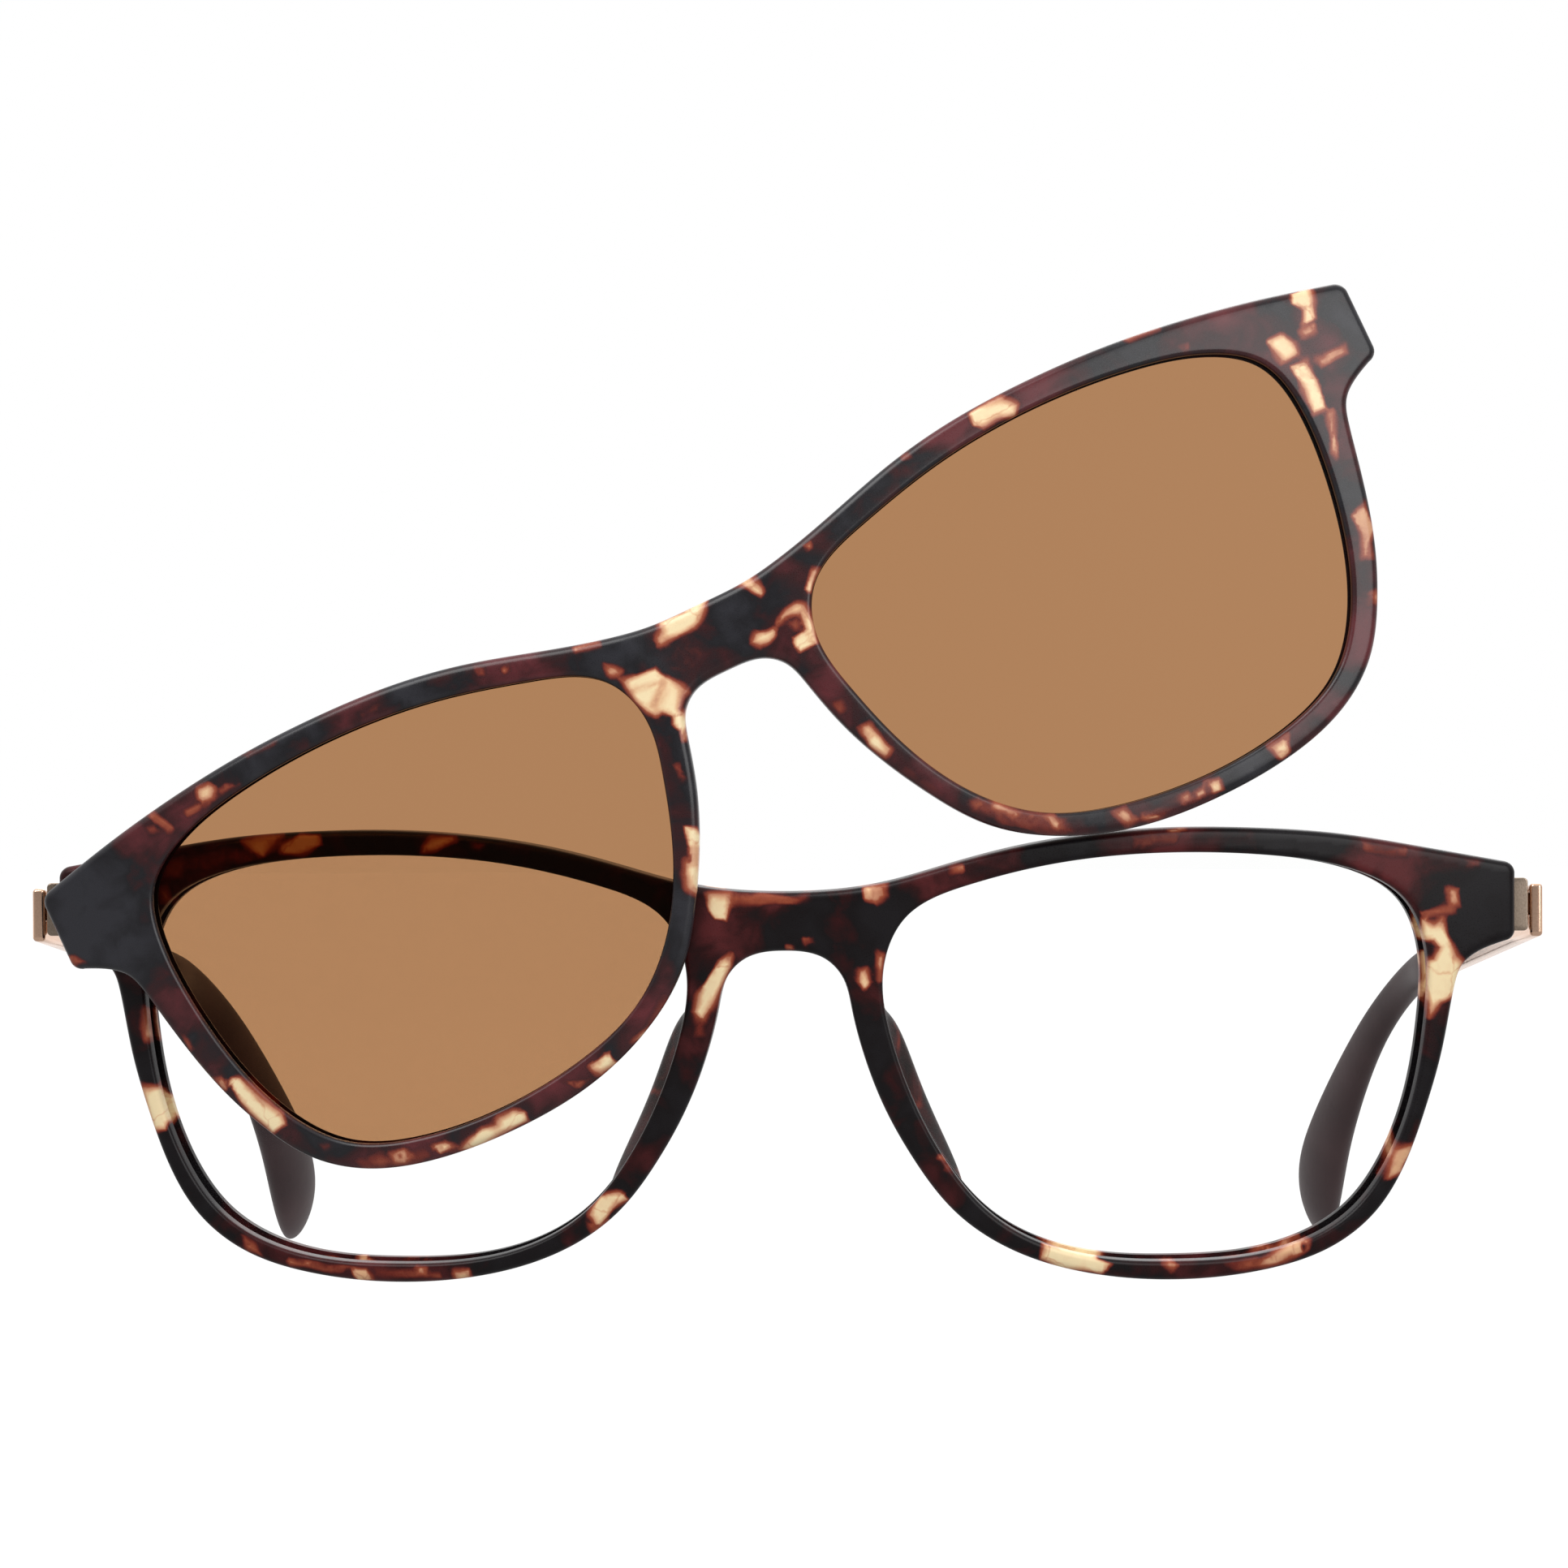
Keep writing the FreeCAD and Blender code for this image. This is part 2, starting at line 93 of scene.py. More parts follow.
FRAME_TOP = [
    (0.0, 15.7), (5.0, 15.9), (9.5, 16.55), (15.5, 18.15), (22.5, 19.9), (30.0, 21.0),
    (37.5, 21.4), (45.0, 21.2), (53.0, 20.45), (61.0, 18.95),
]
FRAME_UNDER = [
    (66.5, 8.45), (65.1, 7.25), (64.45, 5.5), (63.9, 2.7), (63.1, -1.3), (61.75, -6.0),
    (59.7, -11.6), (56.9, -16.2), (52.6, -19.6), (46.0, -21.7), (37.0, -22.4), (29.0, -21.55),
    (21.9, -19.25), (16.3, -15.4), (12.3, -10.2), (9.4, -4.9), (7.55, 0.0), (6.4, 4.5),
    (5.6, 7.4), (3.9, 9.25), (0.0, 10.05),
]
FRAME_OPENING = [
    (9.4, 7.6), (11.6, 13.2), (17.5, 16.2), (26.5, 18.25), (37.5, 19.0), (47.5, 18.4),
    (54.8, 16.85), (59.6, 13.9), (61.7, 8.5), (61.6, 2.5), (60.5, -4.3), (58.2, -10.8),
    (54.3, -16.2), (47.5, -19.6), (37.5, -20.5), (27.5, -19.45), (19.9, -15.7),
    (15.3, -10.2), (12.2, -4.2), (10.1, 2.0),
]
CLIP_TOP = [
    (0.0, 15.35), (5.0, 15.45), (9.5, 16.2), (15.5, 17.8), (22.5, 19.75), (30.0, 21.0),
    (37.5, 21.4), (45.0, 21.25), (53.0, 20.45), (61.0, 19.1),
]
CLIP_UNDER = [
    (65.4, 8.5), (64.0, 7.2), (63.25, 5.2), (62.65, 2.3), (61.9, -1.3), (60.5, -6.4),
    (58.4, -11.4), (55.5, -15.9), (51.3, -19.1), (45.0, -21.15), (37.0, -21.85), (29.0, -21.2),
    (21.9, -18.9), (16.2, -15.1), (12.2, -9.8), (9.5, -4.9), (7.5, 0.0), (6.3, 4.4),
    (5.3, 7.0), (3.7, 8.3), (0.0, 8.8),
]
CLIP_OPENING = [
    (9.0, 7.8), (10.9, 12.5), (17.5, 15.75), (26.0, 17.85), (37.0, 18.9), (47.5, 18.2),
    (54.2, 16.45), (58.1, 13.7), (59.75, 8.0), (59.5, 2.0), (58.4, -4.2), (55.9, -11.0),
    (51.9, -16.0), (45.5, -18.7), (37.0, -19.6), (28.5, -18.75), (21.0, -16.1),
    (15.5, -11.0), (11.75, -4.0), (9.8, 2.2),
]

# the shallow scoop across the bridge: its crease as (u, v) at the top and at the nose, and its depth
SCOOP_TOP = (7.8, 15.4)
SCOOP_NOSE = (6.3, 7.6)
SCOOP_DEEP = 0.4

# The plastic's flakes, laid out one by one on each face: how light each is and its outline. 0.18 is
# oxblood, 0.32 red-brown, 0.5 orange, 0.62 peach, 0.76 amber and 1 cream. A negative one is a dark
# drop or vein over the flakes before it.
FRAME_FLAKES = [
    (0.30, [(-59.5, 18.6), (-53.0, 19.6), (-49.0, 20.4), (-47.6, 19.0), (-53.0, 17.6), (-58.8, 16.6)]),
    (0.92, [(-52.4, 20.1), (-49.8, 20.8), (-48.2, 20.8), (-49.2, 19.4), (-50.0, 18.6), (-51.2, 19.2)]),
    (0.88, [(-48.3, 19.9), (-46.4, 20.9), (-44.6, 21.0), (-44.4, 20.0), (-46.4, 18.9), (-48.4, 18.9)]),
    (-0.7, [(-54.2, 19.4), (-52.8, 19.6), (-52.6, 18.4), (-54.0, 18.2)]),
    (0.90, [(-34.8, 20.0), (-33.8, 21.0), (-31.6, 21.0), (-31.5, 20.4), (-33.3, 19.6), (-34.9, 19.2)]),
    (0.75, [(-60.4, 15.3), (-59.4, 15.3), (-59.2, 14.2), (-60.1, 14.1)]),
    (0.45, [(-60.4, 18.2), (-57.6, 18.4), (-57.8, 16.2), (-60.2, 15.8)]),
    (0.70, [(-61.9, 3.9), (-60.8, 3.7), (-60.6, 0.6), (-61.9, 0.4)]),
    (1.00, [(-62.6, -3.6), (-60.2, -3.9), (-59.4, -6.0), (-59.8, -8.0), (-61.4, -8.0), (-62.2, -5.8)]),
    (0.60, [(-52.6, -18.0), (-51.2, -18.9), (-50.6, -20.2), (-52.2, -19.8)]),
    (0.80, [(-48.2, -20.2), (-45.0, -20.7), (-42.4, -20.9), (-42.6, -21.3), (-45.4, -21.1), (-48.0, -20.7)]),
    (0.78, [(-41.9, -20.9), (-40.2, -21.0), (-39.8, -22.3), (-41.6, -22.4)]),
    (0.38, [(-39.6, -20.9), (-33.2, -20.9), (-32.8, -21.9), (-39.4, -22.2)]),
    (0.75, [(-35.5, -20.7), (-34.5, -20.7), (-34.6, -21.4), (-35.4, -21.5)]),
    (0.80, [(-32.1, -21.0), (-30.4, -20.8), (-30.6, -21.9), (-32.0, -22.1)]),
    (0.95, [(-18.9, -15.4), (-17.9, -13.6), (-15.6, -13.2), (-15.2, -14.1), (-16.6, -14.9), (-17.8, -16.4)]),
    (0.45, [(-19.4, -16.0), (-16.9, -15.6), (-16.0, -16.4), (-18.4, -17.9)]),
    (1.00, [(-7.4, 15.6), (-5.2, 15.7), (-5.0, 14.6), (-5.7, 13.0), (-6.7, 13.1), (-7.3, 14.3)]),
    (0.62, [(-5.4, 15.7), (-3.6, 15.6), (-3.4, 14.9), (-4.6, 14.5), (-5.4, 14.6)]),
    (0.46, [(-4.6, 15.7), (-0.4, 15.6), (2.8, 15.8), (2.4, 15.1), (-0.2, 14.5), (-4.4, 14.3)]),
    (0.60, [(0.9, 15.5), (1.7, 15.5), (1.5, 15.1), (0.9, 15.1)]),
    (0.60, [(1.7, 11.4), (2.6, 11.3), (2.7, 10.7), (1.8, 10.5)]),
    (0.55, [(0.1, 10.6), (0.9, 10.6), (0.9, 10.1), (0.1, 10.1)]),
    (0.98, [(-5.0, 9.9), (-6.0, 9.3), (-7.3, 7.6), (-8.2, 6.0), (-8.5, 4.2), (-7.8, 3.4), (-7.0, 4.9),
            (-5.9, 7.0), (-5.0, 8.6)]),
    (0.34, [(-8.9, 4.4), (-7.2, 4.2), (-7.4, 1.8), (-8.8, 1.6)]),
    (0.60, [(7.4, 16.4), (10.0, 16.7), (9.8, 15.4), (8.7, 14.3), (7.4, 14.9)]),
    (0.85, [(7.6, 16.3), (8.3, 16.4), (8.2, 15.6), (9.2, 15.7), (9.6, 16.4), (9.7, 15.4), (8.6, 14.9),
            (7.7, 15.2)]),
    (0.80, [(6.9, 8.4), (7.9, 8.6), (8.2, 7.0), (7.5, 6.2), (6.9, 7.0)]),
    (0.75, [(8.8, 10.0), (9.6, 9.8), (9.4, 7.2), (8.9, 7.0)]),
    (0.55, [(15.8, 18.2), (17.2, 18.4), (17.2, 17.4), (16.0, 17.2)]),
    (0.36, [(33.0, 21.0), (38.0, 21.2), (37.6, 19.8), (33.4, 19.4)]),
    (0.50, [(34.1, 20.4), (35.3, 20.3), (35.2, 19.6), (34.3, 19.5)]),
    (0.70, [(36.3, 21.4), (38.6, 21.5), (38.6, 21.1), (36.4, 21.0)]),
    (0.38, [(55.2, 19.9), (60.0, 19.0), (59.6, 17.9), (55.4, 18.6)]),
    (0.42, [(65.2, 17.6), (66.8, 17.4), (66.6, 16.6), (65.4, 16.6)]),
    (0.72, [(63.4, 14.8), (64.7, 14.7), (64.7, 13.0), (63.7, 13.0)]),
    (0.75, [(60.9, 12.8), (64.1, 13.0), (64.2, 12.4), (61.0, 12.2)]),
    (1.00, [(61.0, 12.1), (62.2, 11.5), (63.1, 11.9), (63.7, 9.9), (64.3, 8.4), (65.1, 7.8), (64.9, 6.4),
            (64.5, 4.8), (62.9, 4.0), (61.7, 2.4), (61.6, 4.5), (61.8, 6.5), (61.7, 7.8), (61.2, 10.0)]),
    (-0.9, [(60.8, 10.0), (62.2, 10.0), (62.8, 9.1), (62.3, 8.0), (60.8, 7.9)]),
    (0.72, [(58.6, -9.9), (60.2, -9.9), (59.4, -12.8), (57.4, -13.2), (57.8, -11.6)]),
    (1.00, [(24.8, -18.2), (24.5, -19.9), (26.0, -20.8), (30.2, -21.6), (31.0, -20.5), (29.8, -20.0),
            (29.5, -19.3), (27.0, -18.6)]),
    (0.68, [(36.0, -20.8), (36.9, -20.3), (37.7, -20.9), (36.9, -21.6)]),
    (0.52, [(42.0, -20.8), (44.6, -20.3), (46.6, -20.0), (46.4, -21.6), (43.4, -21.8)]),
    (0.74, [(44.6, -20.7), (46.4, -20.0), (48.4, -19.0), (50.2, -18.8), (50.2, -19.9), (47.8, -21.0),
            (45.2, -21.4)]),
    (-0.8, [(49.2, -19.3), (50.1, -19.1), (50.2, -19.9), (49.3, -20.1)]),
    (0.70, [(14.4, -9.5), (15.3, -9.7), (15.2, -10.2), (14.4, -10.1)]),
    (0.40, [(14.9, -10.4), (16.2, -10.5), (16.0, -11.6), (15.0, -11.3)]),
    (0.45, [(-30.0, 20.4), (-28.6, 20.3), (-28.8, 19.6), (-30.0, 19.7)]),
]
CLIP_FLAKES = [
    (0.75, [(-55.7, 20.0), (-54.9, 19.9), (-54.3, 19.0), (-53.9, 17.8), (-54.5, 17.7), (-55.0, 18.9)]),
    (0.40, [(-56.6, 19.0), (-55.4, 19.0), (-55.4, 18.0), (-56.4, 18.0)]),
    (0.98, [(-50.2, 20.2), (-49.0, 20.1), (-48.7, 19.3), (-49.4, 18.7), (-50.4, 18.9), (-50.6, 19.4)]),
    (0.50, [(-52.6, 19.0), (-50.8, 19.0), (-49.2, 18.3), (-46.4, 19.0), (-47.8, 19.6), (-50.0, 18.2),
            (-52.4, 18.2)]),
    (0.24, [(-45.6, 21.3), (-41.0, 21.4), (-41.6, 20.6), (-44.8, 20.4)]),
    (0.24, [(-33.8, 20.2), (-29.4, 20.2), (-30.0, 19.2), (-33.6, 19.0)]),
    (0.50, [(-21.5, 19.2), (-20.7, 18.8), (-20.9, 18.0), (-21.6, 18.2)]),
    (0.50, [(-19.5, 18.0), (-18.3, 18.0), (-18.5, 17.3), (-19.3, 17.3)]),
    (0.80, [(-12.4, 16.9), (-9.8, 16.3), (-9.9, 15.9), (-12.4, 16.4)]),
    (0.92, [(-10.4, 14.0), (-9.5, 13.5), (-9.0, 12.8), (-9.6, 12.6), (-10.3, 13.0)]),
    (1.00, [(-9.3, 11.9), (-6.2, 11.7), (-5.8, 10.9), (-5.0, 9.6), (-4.2, 8.4), (-4.4, 6.8), (-5.0, 5.4),
            (-6.2, 5.2), (-6.8, 6.2), (-8.4, 7.9), (-9.3, 9.6)]),
    (-0.4, [(-6.0, 10.7), (-5.6, 10.3), (-7.6, 8.1), (-8.0, 8.5)]),
    (-0.3, [(-9.2, 10.9), (-6.4, 10.7), (-6.4, 10.3), (-9.2, 10.5)]),
    (-0.9, [(-8.3, 7.4), (-7.3, 7.7), (-6.5, 6.9), (-7.0, 5.8), (-8.4, 5.8)]),
    (-0.9, [(-5.8, 7.3), (-5.0, 8.3), (-3.7, 8.4), (-3.7, 6.4), (-5.0, 6.2)]),
    (0.55, [(-6.6, 5.4), (-5.0, 5.4), (-5.4, 4.2), (-6.8, 4.2)]),
    (0.40, [(-8.8, 2.8), (-7.8, 2.6), (-7.8, 1.0), (-8.7, 0.8)]),
    (1.00, [(-10.1, -3.0), (-9.3, -3.5), (-8.2, -4.2), (-8.8, -5.1), (-10.5, -4.9)]),
    (0.72, [(-10.6, -4.9), (-8.8, -5.1), (-9.1, -7.0), (-10.3, -8.4), (-11.3, -7.0)]),
    (0.97, [(-11.4, -6.0), (-10.6, -6.8), (-10.3, -8.6), (-11.4, -9.4), (-12.3, -8.4)]),
    (0.30, [(-69.2, 14.8), (-68.2, 14.6), (-68.4, 13.8), (-69.3, 13.9)]),
    (0.45, [(-69.0, 11.7), (-67.9, 11.0), (-66.9, 9.9), (-69.0, 10.0)]),
    (0.50, [(-61.8, 0.0), (-61.3, -0.6), (-61.0, -1.9), (-61.7, -2.0)]),
    (0.60, [(-60.9, -5.0), (-59.8, -5.4), (-59.8, -6.9), (-60.6, -6.9)]),
    (1.05, [(-59.4, -6.1), (-58.3, -6.4), (-57.5, -8.5), (-56.3, -11.0), (-56.3, -12.2), (-57.7, -12.4),
            (-58.5, -10.5), (-59.4, -8.2)]),
    (0.24, [(-54.6, -15.0), (-53.0, -15.2), (-52.8, -16.4), (-54.2, -16.2)]),
    (0.31, [(-52.0, -17.6), (-49.5, -18.0), (-45.0, -19.6), (-44.8, -20.9), (-48.5, -21.2), (-51.8, -19.6)]),
    (0.29, [(-43.8, -20.6), (-36.0, -19.9), (-34.6, -21.0), (-36.0, -22.2), (-43.5, -22.2)]),
    (0.60, [(-50.6, -18.3), (-49.2, -18.5), (-48.7, -19.4), (-49.9, -20.0)]),
    (0.68, [(-48.7, -18.6), (-46.8, -18.9), (-46.2, -19.9), (-47.6, -20.5), (-48.9, -20.0)]),
    (-0.7, [(-48.2, -19.0), (-47.3, -19.2), (-47.3, -19.9), (-48.1, -19.8)]),
    (1.00, [(-44.5, -20.1), (-43.2, -20.2), (-42.7, -20.8), (-44.1, -21.1)]),
    (1.05, [(-42.3, -21.4), (-41.0, -20.8), (-39.5, -20.5), (-38.0, -20.8), (-37.6, -20.2), (-36.2, -20.1),
            (-35.1, -20.9), (-35.3, -21.8), (-38.0, -21.9), (-41.0, -21.9)]),
    (0.48, [(-30.6, -19.8), (-29.3, -20.2), (-28.2, -20.7), (-29.7, -21.2)]),
    (1.00, [(-27.9, -19.5), (-25.6, -19.2), (-25.7, -20.5), (-27.2, -20.8)]),
    (0.75, [(-23.2, -19.2), (-21.6, -18.5), (-19.9, -18.2), (-20.6, -18.9), (-22.4, -19.6)]),
    (0.34, [(-23.8, -19.6), (-20.6, -17.6), (-18.2, -16.2), (-17.4, -17.4), (-20.6, -19.4), (-23.0, -20.4)]),
    (1.00, [(-3.8, 15.5), (0.9, 15.5), (0.3, 14.6), (-0.5, 13.9), (-2.5, 13.7), (-4.9, 13.5), (-4.7, 14.2),
            (-3.9, 14.6)]),
    (0.95, [(3.7, 15.5), (5.5, 15.6), (6.0, 14.6), (6.3, 13.8), (5.9, 13.4), (5.2, 14.3), (4.7, 14.9)]),
    (0.92, [(3.0, 9.9), (3.9, 10.8), (4.6, 10.4), (5.8, 10.4), (5.4, 9.6), (4.4, 9.2), (3.5, 9.3)]),
    (0.20, [(-5.8, 13.0), (-0.8, 13.4), (-1.0, 10.2), (-5.0, 9.8)]),
    (1.00, [(6.1, 10.6), (7.2, 11.3), (8.6, 11.7), (9.3, 11.3), (9.3, 8.8), (8.9, 7.2), (6.9, 7.2),
            (6.7, 8.6), (8.3, 8.9), (8.6, 10.6), (7.2, 10.7)]),
    (0.45, [(6.9, 10.4), (8.3, 10.4), (8.1, 9.1), (7.0, 9.0)]),
    (0.95, [(9.8, 12.2), (10.3, 11.8), (11.9, 13.5), (11.4, 13.8)]),
    (0.58, [(11.3, 16.1), (12.3, 16.2), (12.2, 15.4), (11.3, 15.3)]),
    (0.48, [(7.4, 1.8), (8.6, 1.6), (8.4, 0.3), (7.6, 0.3)]),
    (1.00, [(8.9, -1.8), (9.9, -2.0), (10.8, -4.8), (10.0, -5.2), (9.0, -3.6)]),
    (0.22, [(8.4, -6.0), (11.6, -6.4), (14.2, -11.6), (12.2, -12.0)]),
    (0.32, [(14.6, -11.8), (16.8, -12.4), (20.6, -15.4), (23.4, -17.6), (23.2, -19.4), (20.4, -18.6),
            (17.0, -15.8), (14.8, -13.4)]),
    (0.30, [(29.0, -20.0), (37.6, -20.2), (37.6, -21.8), (29.4, -21.4)]),
    (0.72, [(15.2, -12.4), (16.3, -12.5), (16.2, -13.2), (15.3, -13.1)]),
    (0.80, [(16.6, -13.6), (17.6, -13.4), (19.3, -15.3), (18.5, -15.8)]),
    (0.45, [(19.5, -15.6), (20.6, -15.8), (20.6, -16.6), (19.6, -16.5)]),
    (0.80, [(21.0, -16.5), (22.0, -16.6), (22.5, -18.3), (21.4, -18.3)]),
    (0.82, [(27.0, -19.0), (28.4, -19.0), (28.8, -20.6), (27.6, -20.7)]),
    (0.70, [(29.2, -20.5), (31.0, -20.7), (31.0, -21.1), (29.2, -20.9)]),
    (0.78, [(33.3, -20.4), (34.2, -20.2), (34.2, -21.0), (33.4, -21.1)]),
    (0.78, [(34.8, -20.6), (35.7, -20.6), (35.6, -21.3), (34.8, -21.3)]),
    (0.85, [(36.0, -20.2), (37.4, -20.3), (37.3, -21.6), (36.4, -21.6)]),
    (0.90, [(43.0, -19.6), (45.2, -19.3), (44.8, -20.9), (43.4, -21.1)]),
    (0.98, [(30.8, 21.0), (34.2, 21.0), (35.4, 19.6), (34.6, 18.9), (33.0, 19.2), (31.6, 19.0),
            (30.6, 19.8)]),
    (0.45, [(23.2, 20.0), (24.4, 20.0), (24.3, 19.3), (23.2, 19.3)]),
    (0.80, [(47.4, 21.2), (50.6, 20.9), (50.6, 20.6), (47.4, 20.8)]),
    (0.45, [(51.4, 18.5), (52.6, 18.4), (52.5, 17.6), (51.5, 17.6)]),
    (0.95, [(63.6, 18.8), (65.5, 18.6), (65.3, 17.0), (64.4, 15.3), (63.0, 15.3), (63.8, 16.8),
            (63.0, 17.8)]),
    (0.95, [(59.4, 15.2), (61.0, 15.5), (61.6, 13.9), (61.5, 12.8), (59.9, 12.9)]),
    (1.00, [(60.5, 12.2), (62.1, 12.0), (62.0, 9.8), (61.8, 7.2), (60.4, 7.2), (60.5, 9.8)]),
    (0.85, [(62.6, 15.0), (64.1, 15.0), (63.8, 14.2), (62.6, 14.1)]),
    (0.60, [(62.8, 12.1), (66.2, 12.0), (66.0, 11.0), (63.0, 10.7)]),
    (0.84, [(61.8, 7.0), (62.5, 6.8), (61.5, 4.3), (60.7, 2.5), (60.4, 3.3), (61.1, 4.9)]),
    (0.66, [(59.6, -3.0), (61.3, -2.6), (61.1, -5.2), (60.2, -6.2), (59.6, -7.8), (58.5, -7.4),
            (59.3, -5.4)]),
    (0.90, [(58.2, -10.6), (58.9, -10.6), (58.8, -11.5), (58.1, -11.5)]),
    (0.45, [(57.3, -10.6), (58.1, -10.6), (57.9, -11.6), (57.2, -11.6)]),
]
WARP_SCALE, WARP_REACH = 0.4, 0.30   # how wavy the flakes' edges are
FADE = 0.52                          # how softly a flake's edge fades, half its width
FADE_SPREAD = 1.6                    # how much that softness changes from place to place
FADE_LEAST, FADE_MOST = 0.45, 2.2
SLANT = 0.45                         # how far a flake drifts per millimetre of depth
WAVE_SEED = 11                       # of those waves, so that every run lays them alike
noise.seed_set(WAVE_SEED)

# Soft clouds in the dark plastic under the flakes: (u, v, reach, warmth). Warm ones are oxblood,
# cold ones dark and cool; the coldest, -1.7 at the clip's left end and the frame's right end, are painted
# slate sheen, the broad reflection on those ends.
FRAME_CLOUDS_AND_SHEEN = [
    (-57.0, 17.0, 4.5, 0.9), (-39.5, 20.0, 4.0, -0.8), (-22.0, 18.5, 7.0, -0.8), (-62.5, -1.0, 4.0, -0.9),
    (-58.0, -13.0, 5.0, -0.8), (-40.0, -22.0, 5.0, 0.9), (-48.0, -20.5, 3.5, 0.6), (-25.0, -20.0, 5.0, -0.8),
    (-10.0, -6.0, 6.0, -0.8), (-7.0, 12.0, 2.5, 0.9), (2.0, 12.0, 4.5, -0.8), (9.0, 12.0, 3.5, -0.9),
    (11.0, -2.0, 7.0, -0.8), (20.0, -17.0, 5.0, -0.8), (17.0, 17.8, 3.5, 0.7), (26.0, 20.3, 4.0, -1.0),
    (37.0, 20.8, 4.0, 1.0), (48.0, 20.3, 5.0, -1.2), (57.5, 18.5, 3.0, 1.0), (67.0, 12.5, 5.0, -1.7),
    (62.0, -4.0, 5.0, -0.8), (56.0, -15.0, 4.0, -0.9), (38.0, -21.5, 4.0, 0.7), (-1.0, 15.4, 1.6, 1.6),
]
CLIP_CLOUDS_AND_SHEEN = [
    (-65.0, 13.0, 6.6, -1.7), (-57.0, 18.5, 2.8, 0.9), (-50.5, 19.0, 3.0, 0.7), (-41.0, 20.5, 4.5, -0.9),
    (-33.0, 20.3, 3.0, 0.8), (-26.5, 19.8, 3.5, -1.1), (-17.0, 17.5, 5.0, 0.8), (-8.0, 14.0, 3.0, -1.1),
    (-8.3, 3.0, 3.0, -0.5), (-13.5, -13.0, 4.0, -1.4), (-20.0, -17.5, 3.0, 0.7), (-30.0, -20.5, 3.5, 0.6),
    (-48.0, -19.8, 4.0, 0.6), (-54.0, -16.5, 3.0, -0.5), (-61.0, 1.0, 4.0, 0.1), (3.5, 12.5, 3.4, -1.0),
    (-3.0, 11.5, 2.4, 0.2), (8.8, 6.0, 3.0, 0.8), (11.5, -8.0, 4.0, 0.7), (19.0, 18.4, 5.0, -0.7),
    (29.0, 20.2, 2.5, 0.6), (39.0, 20.4, 4.0, 0.8), (49.0, 20.0, 4.0, -0.5), (57.0, 17.8, 3.2, 0.9),
    (66.8, 13.4, 3.0, -0.8), (63.4, 16.6, 1.8, 0.8), (64.8, 11.8, 1.8, 1.0), (62.2, 16.0, 1.4, -0.8),
    (61.8, -1.0, 3.4, -0.8), (57.5, -13.5, 4.0, 0.9), (25.0, -19.5, 3.6, -0.2), (50.0, -19.5, 3.0, 0.6),
    (40.0, -21.0, 3.0, -0.4),
]


# ---- outlines ----
def smooth_line(points, closed=False, step=SAMPLE):
    """Points along the cubic spline through the given ones."""
    p = np.array(points + points[:1] if closed else points, float)
    h = np.linalg.norm(np.diff(p, axis=0), axis=1)
    t = np.concatenate([[0.0], np.cumsum(h)])
    n = len(p)
    system, pull = np.zeros((n, n)), np.zeros((n, 2))
    slope = np.diff(p, axis=0) / h[:, None]
    for i in range(1, n - 1):
        system[i, i - 1:i + 2] = h[i - 1], 2 * (h[i - 1] + h[i]), h[i]
        pull[i] = 6 * (slope[i] - slope[i - 1])
    if closed:
        system[0, 0], system[0, -1] = 1, -1
        system[-1, [0, 1]] = 2 * h[0], h[0]
        system[-1, [-2, -1]] = h[-1], 2 * h[-1]
        pull[-1] = 6 * (slope[0] - slope[-1])
    else:
        system[0, 0] = system[-1, -1] = 1
    bend = np.linalg.solve(system, pull)
    at = np.linspace(0, t[-1], max(4, math.ceil(t[-1] / step)) + 1)
    i = np.clip(np.searchsorted(t, at, "right") - 1, 0, n - 2)
    left, right, h = (at - t[i])[:, None], (t[i + 1] - at)[:, None], h[i][:, None]
    line = (bend[i] * right**3 + bend[i + 1] * left**3) / (6 * h)
    line += (p[i] / h - bend[i] * h / 6) * right + (p[i + 1] / h - bend[i + 1] * h / 6) * left
    return line[:-1] if closed else line


def corner(a, b, c, count=6):
    """Arc through three points."""
    (ax, ay), (bx, by), (cx, cy) = a, b, c
    d = 2 * (ax * (by - cy) + bx * (cy - ay) + cx * (ay - by))
    sa, sb, sc = ax * ax + ay * ay, bx * bx + by * by, cx * cx + cy * cy
    middle = np.array([(sa * (by - cy) + sb * (cy - ay) + sc * (ay - by)) / d,
                       (sa * (cx - bx) + sb * (ax - cx) + sc * (bx - ax)) / d])
    radius = np.linalg.norm(np.array(a) - middle)
    start = math.atan2(ay - middle[1], ax - middle[0])
    end = math.atan2(cy - middle[1], cx - middle[0])
    end = start + (end - start + math.pi) % (2 * math.pi) - math.pi
    turn = np.linspace(start, end, count + 1)
    return middle + radius * np.stack([np.cos(turn), np.sin(turn)], 1)


def contour(top, under, half, end_top, end_bottom):
    """The front's outer outline, once round, anticlockwise."""
    near = CORNER * CORNER_MIDDLE
    upper = [(half - CORNER, end_top + END_RISE), (half - near, end_top - near),
             (half, end_top - CORNER)]
    lower = [(half, end_bottom + CORNER), (half - near, end_bottom + near),
             (half - CORNER, end_bottom - END_DROP)]

    def other(points):
        return [(-u, v) for u, v in reversed(points)]

    runs = [
        smooth_line(other([upper[0]]) + other(top)[:-1] + top + [upper[0]]),
        corner(*upper), smooth_line([upper[2], lower[0]]), corner(*lower),
        smooth_line([lower[2]] + under + other(under)[1:] + other([lower[2]])),
        corner(*other(lower)), smooth_line([(-half, lower[0][1]), (-half, upper[2][1])]),
        corner(*other(upper)),
    ]
    return np.vstack([run[:-1] for run in runs])[::-1]


def inward(loop):
    """Unit vectors to the left of an anticlockwise loop, which point into it."""
    along = np.roll(loop, -1, 0) - np.roll(loop, 1, 0)
    along /= np.linalg.norm(along, axis=1)[:, None]
    return np.stack([-along[:, 1], along[:, 0]], 1)


